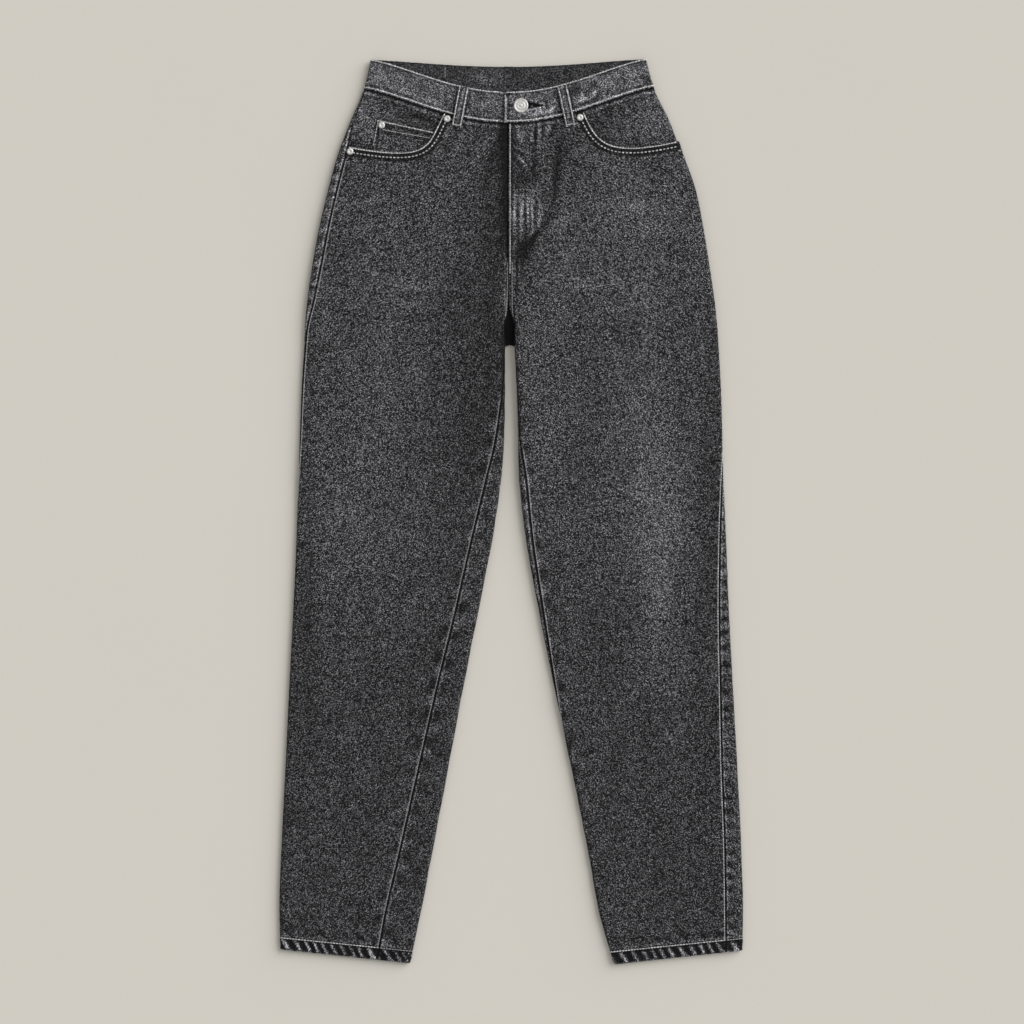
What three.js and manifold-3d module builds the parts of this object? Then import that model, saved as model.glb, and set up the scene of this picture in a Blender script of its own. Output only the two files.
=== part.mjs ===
// Tapered five-pocket jeans, laid out flat with the front up. Sizes are in millimetres.
// +X is the wearer's left, +Y runs from the hems to the waist and +Z points up from the surface.
// The origin is on the surface, under the middle of the garment's outline.
//
// Each half of the jeans is one flattened tube. A table gives its outline row by row, from the top of
// the waistband to the hem, and place() turns a row number and a distance round the tube into a point.
// Every piece of cloth is a patch of that surface with a wall laid inside it.
import * as THREE from "three";
import { mergeVertices } from "three/addons/utils/BufferGeometryUtils.js";
import Module from "manifold-3d";

const wasm = await Module();
wasm.setup();

// Driving dimensions
const CLOTH = 1.2; // one layer of denim
const FACING_CLOTH = 1.0;
const BAND_CLOTH = 2.6; // the waistband is two layers
const BAND_PROUD = 0.6; // how far the band stands out of the panels below it
const HEM_CLOTH = 2.5; // the hem is turned up twice
const HEM_ROW = 18.65; // where the turned-up hem starts, 15 mm above the edge
const SEAM_GAP = 0.3; // sewn pieces lie this far apart
const FLY_LAP = 8; // how far one front runs on under the other
const FLY_SINK = 2.0;
const LAP_RUN = 5.5; // the lapped edge dips over this width
const BAND_SINK = BAND_CLOTH + SEAM_GAP;
const UNDERLAP_LENGTH = 37;
const OVERLAP_LENGTH = 5;
const BUTTON_PLACE = [11.2, 470.5];
const BUTTON_RADIUS = 8.5;
const SHANK_RADIUS = 2.0;
const KEYHOLE_RADIUS = 2.8;
const BUTTONHOLE_END = 38;
const BUTTONHOLE_WIDTH = 1.8;
const RIVET_RADIUS = 3.9;
const RIVET_HEIGHT = 1.3;
const LOOP_WIDTH = 11;
const LOOP_CLOTH = 1.6;
const LOOP_ARCH = 1.1;
const PATCH_CLOTH = 1.2; // back pockets and back loops, which the jeans lie on

// Reads a short table into one list for each named column.
function table(names, rows) {
  return Object.fromEntries(names.map((name, i) => [name, rows.map((row) => row[i])]));
}

// Row 0 is the waistband's top edge, 1 the waist seam, 8 the crotch and 19 the hem.
// outX, outY: the outline at the hip side. inX: the centre line, and below the crotch the inside leg.
// frontDrop, backDrop: how much lower the row is at its inner end, on the front and on the back.
// outSeam, inSeam: how far round the fold each side seam lies, above zero on the front face.
const OUTLINE = ["outX", "outY", "inX", "frontDrop", "backDrop", "outSeam", "inSeam"];
const RIGHT_HALF = table(OUTLINE, [
  [-163.1, 523.9, -3.0, 37.5, 8.1, 3.2, 0],
  [-170.7, 490.9, -3.0, 39.4, 8.8, 3.2, 0],
  [-185.8, 454.3, -3.0, 34.8, 8.0, 5.3, 0],
  [-200.9, 414.9, -3.0, 30.2, 6.0, 10.7, 0],
  [-212.6, 373.1, -3.0, 25.5, 4.0, 11.7, 0],
  [-223.5, 326.7, -3.0, 19.7, 3.0, 12.2, 0],
  [-231.8, 280.3, -3.0, 13.9, 2.0, 11.7, 0],
  [-236.8, 243.2, -3.0, 7.0, 1.0, 9.0, 0],
  [-239.3, 215.4, -3.9, 0, 0, 4.6, 0],
  [-240.3, 193.3, -7.3, 0, 0, 3.3, 2.0],
  [-243.5, 141.1, -7.5, 0, 0, 2.6, 6.0],
  [-245.6, 83.1, -8.5, 0, 0, 2.0, 12.8],
  [-246.9, 36.7, -12.0, 1.2, 1.2, 0.3, 20.0],
  [-249.2, -32.9, -22.4, 2.9, 2.9, -2.5, 26.2],
  [-253.0, -114.1, -38.8, 5.2, 5.2, -4.3, 28.5],
  [-257.3, -195.3, -55.3, 7.5, 7.5, -4.8, 32.1],
  [-261.6, -288.1, -73.1, 9.9, 9.9, -5.0, 35.7],
  [-266.3, -380.9, -91.2, 12.8, 12.8, -5.0, 39.2],
  [-269.0, -450.5, -104.8, 14.5, 14.5, -5.0, 41.9],
  [-268.0, -507.3, -117.2, 16.2, 16.2, -5.0, 40.0],
]);
const LEFT_HALF = table(OUTLINE, [
  [156.3, 524.7, -3.0, 38.3, 8.9, -6.0, 0],
  [165.5, 492.6, -3.0, 41.1, 10.5, -6.0, 0],
  [184.9, 454.3, -3.0, 34.8, 8.0, -9.0, 0],
  [199.7, 414.9, -3.0, 30.2, 6.0, -11.0, 0],
  [214.2, 373.1, -3.0, 25.5, 4.0, -11.0, 0],
  [223.5, 326.7, -3.0, 19.7, 3.0, -10.0, 0],
  [230.8, 280.3, -3.0, 13.9, 2.0, -8.0, 0],
  [236.0, 243.2, -3.0, 7.0, 1.0, -6.5, 0],
  [238.9, 215.4, -2.1, 0, 0, -5.5, 0],
  [240.4, 193.3, 3.7, 0, 0, -5.0, 1.0],
  [243.3, 141.1, 6.4, 0, 0, -3.5, 2.6],
  [245.0, 83.1, 8.2, 0, 0, -1.2, 5.0],
  [246.2, 36.7, 9.4, 1.2, 1.2, 3.2, 10.4],
  [249.3, -32.9, 17.7, 2.9, 2.9, 8.8, 9.2],
  [252.6, -114.1, 33.0, 5.2, 5.2, 13.0, 6.2],
  [256.9, -195.3, 49.7, 7.5, 7.5, 16.0, 2.6],
  [262.1, -288.1, 70.0, 9.9, 9.9, 19.4, -3.3],
  [266.7, -380.9, 89.2, 12.8, 12.8, 20.8, -4.8],
  [269.0, -450.5, 102.1, 14.5, 14.5, 22.0, -5.8],
  [268.4, -508.5, 119.5, 16.2, 16.2, 20.8, -5.8],
]);

// lift: the underside's height over the surface, where the back pockets lie under it.
// outer, middle, inner: the flattened tube's thickness at its outer fold, middle and inner edge.
// crotch: 0 where front and back part at the centre seams, 1 where the inner edge is folded shut.
// bend: how far the row follows the waist's curve instead of a straight line.
const LEVELS = table(["lift", "outer", "middle", "inner", "crotch", "bend"], [
  [1.5, 6.0, 6.1, 7.8, 0, 1],
  [1.5, 6.2, 6.1, 7.7, 0, 1],
  [1.5, 6.2, 6.0, 7.0, 0, 0.7],
  [1.5, 6.2, 5.8, 6.5, 0, 0.45],
  [1.5, 6.2, 5.6, 6.2, 0, 0.3],
  [1.5, 6.2, 5.4, 6.2, 0, 0.2],
  [1.5, 6.2, 5.2, 6.0, 0, 0.1],
  [1.5, 6.2, 5.0, 6.8, 0.35, 0],
  [1.0, 6.2, 4.8, 9.0, 1, 0],
  [0.6, 6.2, 4.7, 10.8, 1, 0],
  [0.1, 6.2, 4.6, 11.2, 1, 0],
  [0, 6.2, 4.5, 10.4, 1, 0],
  [0, 6.2, 4.4, 8.6, 1, 0],
  [0, 6.2, 4.4, 7.0, 1, 0],
  [0, 6.2, 4.4, 6.2, 1, 0],
  [0, 6.2, 4.5, 6.2, 1, 0],
  [0, 6.2, 4.6, 6.2, 1, 0],
  [0, 6.2, 4.8, 6.2, 1, 0],
  [0, 6.2, 5.2, 6.2, 1, 0],
  [0, 6.0, 5.7, 6.0, 1, 0],
]);

// Soft folds of the front: where each is centred, the way it runs, its reach and its height.
const FOLDS = table(["x", "y", "angle", "length", "width", "height"], [
  [-10, 330, 90, 110, 7, -0.7],
  [52, 392, 84, 42, 6, -0.8],
  [64, 396, 86, 50, 8, 0.5],
  [150, 356, -4, 60, 8, 0.5],
  [140, 338, -5, 70, 9, -0.4],
  [-120, 344, 5, 70, 10, 0.4],
  [-70, 255, 30, 70, 12, -0.6],
  [62, 250, -32, 70, 12, -0.6],
  [120, 262, -12, 60, 9, 0.5],
  [-160, -40, 84, 150, 26, -0.5],
  [150, -10, 96, 170, 28, -0.5],
]);

const OUTER_SWELL = 35; // how far the thicker edges reach into the leg
const INNER_SWELL = 30;
const WAIST_CURVE = 1.3; // sharpens the waist's dip towards the centre
const FOLD_CROWDING = 7; // extra columns on a fold
const FOLD_REACH = 5;
const BACK_COLUMNS = 17;
const BAND_MIDDLE = 0.5; // the row halfway down the waistband
const PANEL_TOP = 1.01; // a seam's gap under the waistband
const YOKE_OUTER_ROW = 2.2;
const YOKE_INNER_ROW = 3.05;
const YOKE_HALF_GAP = 0.006;
const PANEL_ROWS = [
  1.01, 1.6, 2.2, 2.8, 3.4, 4, 4.6, 5.2, 5.8, 6.4, 7, 7.5, 8, 8.4, 9, 9.6, 10.4, 11.2, 12, 12.7,
  13.4, 14.2, 15, 15.8, 16.6, 17.4, 18.2, HEM_ROW - 0.01, HEM_ROW, 19,
];

// The pocket mouths, as curves from the waist seam to the side seam.
const mouthCurve = (...corners) => {
  return new THREE.CubicBezierCurve(...corners.map((corner) => new THREE.Vector2(...corner)));
};
const RIGHT_MOUTH = mouthCurve([-77, 464], [-100, 426], [-86, 405], [-192, 424]);
const LEFT_MOUTH = mouthCurve([84, 464], [99, 432], [105, 410], [193, 430]);
const MOUTH_UNDER = 25; // how far the facing runs on under the mouth
const MOUTH_PAST = 18;
const FACING_EASE = 12; // the facing drops to its depth over this distance from its seams
const FACING_FOLD_ROOM = 0.6; // and lies a little deeper inside the side fold

const RIGHT = { rows: RIGHT_HALF, mouth: RIGHT_MOUTH, facingDepth: 2.9, lap: FLY_LAP };
const LEFT = { rows: LEFT_HALF, mouth: LEFT_MOUTH, facingDepth: 1.5, lap: 0 };

// Helpers for numbers
const clamp = (value, low, high) => Math.min(Math.max(value, low), high);
const mix = (a, b, t) => a + (b - a) * t;
const smooth = (t) => clamp(t, 0, 1) ** 2 * (3 - 2 * clamp(t, 0, 1));

// A smooth curve through one column, whose slope at each row is set by the rows beside it.
function at(column, v) {
  const last = column.length - 1;
  const i = clamp(Math.floor(v), 0, last - 1);
  const t = v - i;
  const startSlope = (column[i + 1] - column[Math.max(i - 1, 0)]) / 2;
  const endSlope = (column[Math.min(i + 2, last)] - column[i]) / 2;
  const rise = t * t * (3 - 2 * t);
  return mix(column[i], column[i + 1], rise) + startSlope * t * (1 - t) ** 2 - endSlope * t * t * (1 - t);
}

// One row of a half: its table values, its width and the half length of its loop.
function section(half, v) {
  const row = {};
  for (const name of OUTLINE) row[name] = at(half.rows[name], v);
  for (const name of Object.keys(LEVELS)) row[name] = at(LEVELS[name], v);
  row.lift = Math.max(row.lift, 0);
  row.crotch = clamp(row.crotch, 0, 1);
  row.width = Math.abs(row.inX - row.outX);
  row.outerRadius = row.outer / 2;
  row.innerRadius = row.inner / 2;
  row.length = row.width + (Math.PI / 2 - 1) * (row.outerRadius + row.crotch * row.innerRadius);
  return row;
}

function foldHeight(x, y) {
  let height = 0;
  FOLDS.x.forEach((centreX, i) => {
    const turn = THREE.MathUtils.degToRad(FOLDS.angle[i]);
    const dx = x - centreX;
    const dy = y - FOLDS.y[i];
    const along = (dx * Math.cos(turn) + dy * Math.sin(turn)) / FOLDS.length[i];
    const across = (dy * Math.cos(turn) - dx * Math.sin(turn)) / FOLDS.width[i];
    height += FOLDS.height[i] * Math.exp(-along * along - across * across);
  });
  return height;
}

// A point of a half's surface. v is the row, s the distance round the loop from the outer fold, above
// zero on the front, and outward moves the point off the surface along its normal. Both folds are
// half circles, and past the inner fold the surface runs on underneath.
function place(half, v, s, outward = 0) {
  const row = section(half, v);
  let round = Math.abs(s);
  let side = s >= 0 ? 1 : -1;
  if (row.crotch === 1 && round > row.length) {
    round = 2 * row.length - round;
    side = -side;
  }
  const left = row.length - round;
  let across;
  let fullness;
  let normalAcross;
  if (round < row.length / 2) {
    const turn = Math.min(round / row.outerRadius, Math.PI / 2);
    const straight = Math.max(round - (row.outerRadius * Math.PI) / 2, 0);
    across = row.outerRadius * (1 - Math.cos(turn)) + straight;
    fullness = Math.sin(turn);
    normalAcross = -Math.cos(turn);
  } else {
    const turn = clamp(left / row.innerRadius, 0, Math.PI / 2);
    const straight = Math.max(left - (row.innerRadius * Math.PI) / 2, 0);
    const folded = row.innerRadius * (1 - Math.cos(turn)) + straight;
    across = row.width - mix(left, folded, row.crotch);
    fullness = mix(1, Math.sin(turn), row.crotch);
    normalAcross = row.crotch * Math.cos(turn);
  }
  const outerSwell = (row.outer - row.middle) * Math.exp(-((across / OUTER_SWELL) ** 2));
  const innerSwell = (row.inner - row.middle) * Math.exp(-(((row.width - across) / INNER_SWELL) ** 2));
  const halfThick = (row.middle + outerSwell + innerSwell) / 2;
  const reach = across + outward * normalAcross;
  const part = reach / row.width;
  const curved = Math.sin((Math.PI / 2) * clamp(part, 0, 1)) ** WAIST_CURVE;
  const drop = (side > 0 ? row.frontDrop : row.backDrop) * mix(part, curved, row.bend);
  const x = mix(row.outX, row.inX, part);
  const y = row.outY - drop;
  const fold = side > 0 ? foldHeight(x, y) * fullness : 0;
  const z = row.lift + halfThick * (1 + side * fullness) + fold + outward * side * fullness;
  return [x, y, z];
}

// The distance round the loop of a place on the front at the given x.
function roundAt(half, v, x) {
  const row = section(half, v);
  return Math.abs(x - row.outX) + (Math.PI / 2 - 1) * row.outerRadius;
}

// Finds the row at which a function of the row falls to zero, by halving.
function findRow(low, high, fall) {
  for (let step = 0; step < 30; step += 1) {
    const middle = (low + high) / 2;
    if (fall(middle) > 0) low = middle;
    else high = middle;
  }
  return (low + high) / 2;
}

// The front's height at a place seen from above.
function topAt(half, x, y) {
  const v = findRow(0, 12, (row) => place(half, row, roundAt(half, row, x))[1] - y);
  return place(half, v, roundAt(half, v, x))[2];
}

const halfAt = (x) => (x < RIGHT_HALF.inX[1] ? RIGHT : LEFT);

// The pocket mouth's height at the given x, level past its outer end.
function mouthY(half, x) {
  const { v0, v3 } = half.mouth;
  if (Math.abs(x) <= Math.abs(v0.x)) return v0.y + (Math.abs(v0.x) - Math.abs(x)) * 1.6;
  if (Math.abs(x) >= Math.abs(v3.x)) return v3.y;
  const t = findRow(0, 1, (share) => Math.abs(x) - Math.abs(half.mouth.getPoint(share).x));
  return half.mouth.getPoint(t).y;
}

// Places from one end of a stretch of the loop to the other, closer together on the folds.
function spread(row, from, to, count) {
  const steps = 60;
  const totals = [0];
  for (let i = 0; i < steps; i += 1) {
    const s = mix(from, to, (i + 0.5) / steps);
    const outerFold = Math.exp(-((s / FOLD_REACH) ** 2));
    const innerFold = row.crotch * Math.exp(-(((Math.abs(s) - row.length) / FOLD_REACH) ** 2));
    totals.push(totals[i] + 1 + FOLD_CROWDING * (outerFold + innerFold));
  }
  return Array.from({ length: count + 1 }, (_, column) => {
    if (column === count) return to;
    const wanted = (totals[steps] * column) / count;
    const i = clamp(totals.findIndex((total) => total >= wanted) - 1, 0, steps - 1);
    return mix(from, to, (i + (wanted - totals[i]) / (totals[i + 1] - totals[i])) / steps);
  });
}

// Solids
function asSolid(geometry) {
  const plain = geometry.clone();
  plain.deleteAttribute("normal");
  plain.deleteAttribute("uv");
  const merged = mergeVertices(plain, 1e-4);
  const mesh = new wasm.Mesh({
    numProp: 3,
    vertProperties: merged.attributes.position.array,
    triVerts: new Uint32Array(merged.index.array),
  });
  return new wasm.Manifold(mesh);
}

function asGeometry(solid) {
  const mesh = solid.getMesh();
  const geometry = new THREE.BufferGeometry();
  geometry.setAttribute("position", new THREE.BufferAttribute(mesh.vertProperties, 3));
  geometry.setIndex(new THREE.BufferAttribute(mesh.triVerts, 1));
  return geometry;
}

function geometryOf(points, faces) {
  const geometry = new THREE.BufferGeometry();
  geometry.setAttribute("position", new THREE.BufferAttribute(new Float32Array(points.flat()), 3));
  geometry.setIndex(faces);
  return geometry;
}

// Turns every face of a closed body outwards.
function facingOut(points, faces) {
  let volume = 0;
  const corners = [new THREE.Vector3(), new THREE.Vector3(), new THREE.Vector3()];
  for (let i = 0; i < faces.length; i += 3) {
    corners.forEach((corner, k) => corner.fromArray(points[faces[i + k]]));
    volume += corners[0].dot(corners[1].cross(corners[2]));
  }
  if (volume < 0) faces.reverse();
  return geometryOf(points, faces);
}

// A body whose rings are closed loops of points, one ring after another, with flat ends.
function ringSolid(rings) {
  const count = rings[0].length;
  const faces = [];
  for (let i = 0; i + 1 < rings.length; i += 1) {
    for (let j = 0; j < count; j += 1) {
      const next = (j + 1) % count;
      const here = i * count;
      const there = here + count;
      faces.push(here + j, here + next, there + next, here + j, there + next, there + j);
    }
  }
  const last = (rings.length - 1) * count;
  const half = count / 2;
  for (let j = 0; j + 1 < half; j += 1) {
    const across = count - 1 - j;
    faces.push(j, across, across - 1, j, across - 1, j + 1);
    faces.push(last + j, last + across - 1, last + across, last + j, last + j + 1, last + across - 1);
  }
  return facingOut(rings.flat(), faces);
}

// A wall between two grids of points. Each column is one ring: down the outside and back up the inside.
function wallSolid(columnCount, rowCount, pair) {
  const rings = [];
  for (let i = 0; i < columnCount; i += 1) {
    const outside = [];
    const inside = [];
    for (let j = 0; j < rowCount; j += 1) {
      const [outer, inner] = pair(i, j);
      outside.push(outer);
      inside.unshift(inner);
    }
    rings.push([...outside, ...inside]);
  }
  return ringSolid(rings);
}

// Panels
const HALF_GAP = SEAM_GAP / 2;
const wallAt = (v) => (v >= HEM_ROW ? HEM_CLOTH : CLOTH);

// The front's two edges on a row. One front runs on under the other as far as the crotch.
const frontStart = (row) => row.outSeam + HALF_GAP;
const lapAt = (row, half) => half.lap * smooth(1 - row.crotch * 4);
const frontEnd = (row, half) => row.length - row.inSeam - HALF_GAP + lapAt(row, half);

// How far the lapped edge dips, to pass under the other front.
function lapSink(half, row, s) {
  const fade = 1 - smooth((row.crotch - 0.3) / 0.5);
  return half.lap > 0 ? FLY_SINK * fade * smooth((s - row.length + LAP_RUN) / (LAP_RUN - 1)) : 0;
}

// A front panel: its top edge follows the waist seam, then the pocket mouth down to the side seam.
function frontPanel(half) {
  const sideColumns = 6;
  const mainColumns = 8;
  const top = section(half, PANEL_TOP);
  const mouthStart = roundAt(half, PANEL_TOP, half.mouth.v0.x);
  const mouthShare = (mouthStart - frontStart(top)) / (top.length - frontStart(top));
  const columnAt = (v, i) => {
    const row = section(half, v);
    const from = frontStart(row);
    const turn = mix(from, row.length - row.inSeam, mouthShare);
    if (i <= sideColumns) return spread(row, from, turn, sideColumns)[i];
    const inner = row.length - row.inSeam;
    const edge = [inner - LAP_RUN, inner - HALF_GAP * 4, frontEnd(row, half)];
    if (i > sideColumns + mainColumns) return edge[i - sideColumns - mainColumns];
    return spread(row, turn, edge[0], mainColumns)[i - sideColumns];
  };
  const topRows = [];
  const columns = sideColumns + mainColumns + 2;
  for (let i = 0; i <= columns; i += 1) {
    const overMouth = (v) => {
      const [x, y] = place(half, v, columnAt(v, i));
      return y - mouthY(half, x);
    };
    topRows.push(i < sideColumns ? findRow(PANEL_TOP, 4, overMouth) : PANEL_TOP);
  }
  return wallSolid(columns + 1, PANEL_ROWS.length, (i, j) => {
    const planned = PANEL_ROWS[j];
    const v = planned + (topRows[i] - PANEL_TOP) * clamp((5 - planned) / (5 - PANEL_TOP), 0, 1);
    const s = columnAt(v, i);
    const row = section(half, v);
    const sink = lapSink(half, row, s);
    return [place(half, v, s, -sink), place(half, v, s, -sink - wallAt(v))];
  });
}

// The back of a half runs from the side seam round the fold, under the leg and round to the inseam.
const backStart = (row) => row.outSeam - HALF_GAP;
const backEnd = (row) => HALF_GAP - row.length - (row.crotch < 1 ? 0 : row.inSeam);
const yokeRow = (share) => mix(YOKE_OUTER_ROW, YOKE_INNER_ROW, share);

function backColumn(half, v, i, count) {
  const row = section(half, v);
  return spread(row, backStart(row), backEnd(row), count)[i];
}

function backPanel(half) {
  const columns = BACK_COLUMNS;
  return wallSolid(columns + 1, PANEL_ROWS.length, (i, j) => {
    const planned = PANEL_ROWS[j];
    const shift = yokeRow(i / columns) + YOKE_HALF_GAP - PANEL_TOP;
    const v = planned + shift * clamp((7 - planned) / (7 - PANEL_TOP), 0, 1);
    const s = backColumn(half, v, i, columns);
    return [place(half, v, s), place(half, v, s, -wallAt(v))];
  });
}

function yoke(half) {
  const columns = BACK_COLUMNS;
  const rows = 4;
  return wallSolid(columns + 1, rows + 1, (i, j) => {
    const v = mix(PANEL_TOP, yokeRow(i / columns) - YOKE_HALF_GAP, j / rows);
    const s = backColumn(half, v, i, columns);
    return [place(half, v, s), place(half, v, s, -CLOTH)];
  });
}

// How deep the pocket facing lies: full depth under the front and along the mouth, and nearly level
// with the panels where it is sewn in at the waist and the side.
function facingDepth(half, v, s) {
  const row = section(half, v);
  const [x, y] = place(half, v, s);
  const [, waistY] = place(half, PANEL_TOP, roundAt(half, PANEL_TOP, x));
  const fromSeams = Math.min(waistY - y, s - row.outSeam) / FACING_EASE;
  const fromMouth = (y - mouthY(half, x)) / FACING_EASE;
  const foldRoom = FACING_FOLD_ROOM * Math.exp(-((s / FOLD_REACH) ** 2));
  return mix(0.1, half.facingDepth + foldRoom, Math.max(smooth(fromSeams), 1 - smooth(fromMouth - 0.15)));
}

function pocketFacing(half) {
  const columns = 10;
  const rows = 8;
  const past = half.mouth.v0.x - Math.sign(half.mouth.v0.x) * MOUTH_PAST;
  const columnAt = (v, i) => {
    const row = section(half, v);
    return spread(row, frontStart(row), roundAt(half, v, past), columns)[i];
  };
  return wallSolid(columns + 1, rows + 1, (i, j) => {
    const bottom = findRow(PANEL_TOP, 5, (v) => {
      const [x, y] = place(half, v, columnAt(v, i));
      return y - (mouthY(half, x) - MOUTH_UNDER);
    });
    const v = mix(PANEL_TOP, bottom, j / rows);
    const s = columnAt(v, i);
    const depth = facingDepth(half, v, s);
    return [place(half, v, s, -depth), place(half, v, s, -depth - FACING_CLOTH)];
  });
}

// A flat piece laid over the front: a four-sided grid in plan, with its outside and inside heights
// given over the front's surface.
function laidPiece(corners, columns, rows, heights) {
  const [topStart, topEnd, bottomEnd, bottomStart] = corners;
  return wallSolid(columns + 1, rows + 1, (i, j) => {
    const a = i / columns;
    const b = j / rows;
    const x = mix(mix(topStart[0], topEnd[0], a), mix(bottomStart[0], bottomEnd[0], a), b);
    const y = mix(mix(topStart[1], topEnd[1], a), mix(bottomStart[1], bottomEnd[1], a), b);
    const surface = topAt(halfAt(x), x, y);
    const [outer, inner] = heights(b);
    return [[x, y, surface + outer], [x, y, surface + inner]];
  });
}

// The coin pocket lies on the right facing and goes on under the front below the mouth.
function coinPocket() {
  const corners = [[-155.5, 454.5], [-84, 439], [-84, 405], [-162, 405]];
  const outer = -CLOTH - SEAM_GAP;
  return laidPiece(corners, 6, 5, () => [outer, outer - 1.1]);
}

// A front belt loop: a strip from the band's top edge to just below the waist seam, arched a little
// between its folded ends.
function frontLoop(top, bottom) {
  const run = new THREE.Vector2(top[0] - bottom[0], top[1] - bottom[1]).normalize();
  const side = [(run.y * LOOP_WIDTH) / 2, (-run.x * LOOP_WIDTH) / 2];
  const corner = (end, way) => [end[0] + way * side[0], end[1] + way * side[1]];
  const corners = [corner(top, -1), corner(top, 1), corner(bottom, 1), corner(bottom, -1)];
  return laidPiece(corners, 3, 14, (b) => {
    const seat = BAND_PROUD + SEAM_GAP + 0.1;
    const arch = LOOP_ARCH * Math.sin(Math.PI * clamp((b - 0.12) / 0.68, 0, 1)) ** 0.7;
    const foot = b > 0.86 ? BAND_PROUD * 0.9 : 0;
    return [seat + arch + LOOP_CLOTH, seat + arch - foot];
  });
}

// The waistband is one strip: from its underlap at the fly, round one side, across the back, round the
// other side and to its overlapping end.
function waistband() {
  const right = section(RIGHT, BAND_MIDDLE);
  const left = section(LEFT, BAND_MIDDLE);
  const stations = [];
  const run = (half, row, from, to, count, sinkAt) => {
    for (const s of spread(row, from, to, count)) stations.push({ half, s, sink: sinkAt(s) });
  };
  const level = () => 0;
  run(LEFT, left, left.length - UNDERLAP_LENGTH, left.length, 5, () => BAND_SINK);
  stations.pop();
  run(RIGHT, right, right.length, 0, 14, (s) => BAND_SINK * smooth((s - right.length + 18) / 11));
  stations.pop();
  run(RIGHT, right, 0, -right.length, 12, level);
  stations.pop();
  run(LEFT, left, -left.length, 0, 12, level);
  stations.pop();
  run(LEFT, left, 0, left.length + OVERLAP_LENGTH, 15, level);

  // Row, and how much thinner each face is there, so that the top edge is rounded.
  const profile = [[0, 0.9], [0.04, 0.25], [0.14, 0], [0.42, 0], [0.7, 0], [0.94, 0], [1, 0.3]];
  const rings = stations.map(({ half, s, sink }) => {
    const outside = [];
    const inside = [];
    for (const [v, thin] of profile) {
      const row = section(half, v);
      const middleLength = section(half, BAND_MIDDLE).length;
      const past = Math.abs(s) > middleLength;
      const round = past ? s + (row.length - middleLength) : (s * row.length) / middleLength;
      const turn = clamp(round / row.outerRadius, -Math.PI / 2, Math.PI / 2);
      const proud = (BAND_PROUD * (1 + Math.sin(turn))) / 2;
      outside.push(place(half, v, round, proud - sink - thin));
      inside.unshift(place(half, v, round, proud - sink - BAND_CLOTH + thin));
    }
    return [...outside, ...inside];
  });
  return ringSolid(rings);
}

// The keyhole buttonhole: a round hole for the shank and a slit beside it, through the overlap alone.
function buttonholeCutter(low, high) {
  const depth = high - low;
  const eye = new THREE.CylinderGeometry(KEYHOLE_RADIUS, KEYHOLE_RADIUS, depth, 20);
  eye.rotateX(Math.PI / 2);
  eye.translate(BUTTON_PLACE[0], BUTTON_PLACE[1], low + depth / 2);
  const slitLength = BUTTONHOLE_END - BUTTON_PLACE[0];
  const slit = new THREE.BoxGeometry(slitLength, BUTTONHOLE_WIDTH, depth);
  slit.translate(BUTTON_PLACE[0] + slitLength / 2, BUTTON_PLACE[1], low + depth / 2);
  return asSolid(eye).add(asSolid(slit));
}

// A turned piece, standing on the height given, with its profile from the axis out and back.
function turned(profile, sides, [x, y], z) {
  const geometry = new THREE.LatheGeometry(profile.map(([r, h]) => new THREE.Vector2(r, h)), sides);
  geometry.rotateX(Math.PI / 2);
  geometry.translate(x, y, z);
  return asGeometry(asSolid(geometry));
}

// A shank button: a dished cap with a raised rim and centre, on a shank through the buttonhole.
function button(underlapTop, overlapTop) {
  const shankFoot = underlapTop + SEAM_GAP;
  const cap = overlapTop + SEAM_GAP - shankFoot;
  const r = BUTTON_RADIUS;
  const profile = [
    [0, 0], [SHANK_RADIUS, 0], [SHANK_RADIUS, cap], [r - 0.9, cap], [r, cap + 0.9], [r - 0.3, cap + 2.0],
    [r - 1.4, cap + 2.4], [r - 2.6, cap + 1.9], [3.4, cap + 1.9], [2.6, cap + 2.7], [0, cap + 2.9],
  ];
  return turned(profile, 28, BUTTON_PLACE, shankFoot);
}

const RIVET_PROFILE = [
  [0, 0], [RIVET_RADIUS - 0.3, 0], [RIVET_RADIUS, 0.5], [RIVET_RADIUS - 0.9, RIVET_HEIGHT - 0.1],
  [1.5, RIVET_HEIGHT], [1.0, RIVET_HEIGHT - 0.35], [0, RIVET_HEIGHT - 0.4],
];

// A rivet's height: clear of the highest point of the cloth under its rim.
function rivetSeat([x, y], depth) {
  let highest = -Infinity;
  for (let k = 0; k < 8; k += 1) {
    const turn = (k * Math.PI) / 4;
    const px = x + RIVET_RADIUS * Math.cos(turn);
    const py = y + RIVET_RADIUS * Math.sin(turn);
    highest = Math.max(highest, topAt(halfAt(px), px, py));
  }
  return highest - depth + SEAM_GAP;
}

const rivet = (spot, depth) => turned(RIVET_PROFILE, 14, spot, rivetSeat(spot, depth));

// The hidden rivet sits under the left side fold, head down.
function underRivet(spot) {
  const down = RIVET_PROFILE.map(([r, h]) => [r, PATCH_CLOTH - (h * 1.1) / RIVET_HEIGHT]).reverse();
  return turned(down, 14, spot, 0);
}

// A flat piece that the jeans lie on, cut to the outline given and lying on the surface.
function flatPiece(outline) {
  const shape = new THREE.Shape(outline.map(([x, y]) => new THREE.Vector2(x, y)));
  return new THREE.ExtrudeGeometry(shape, { depth: PATCH_CLOTH, bevelEnabled: false, steps: 1 });
}

// A back pocket: straight sides drawn in a little towards a pointed foot.
function backPocket(centreX) {
  const top = 402;
  const outline = [[-70, 0], [-64, -128], [0, -152], [64, -128], [70, 0]];
  return flatPiece(outline.map(([x, y]) => [centreX + x, top + y]));
}

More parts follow.
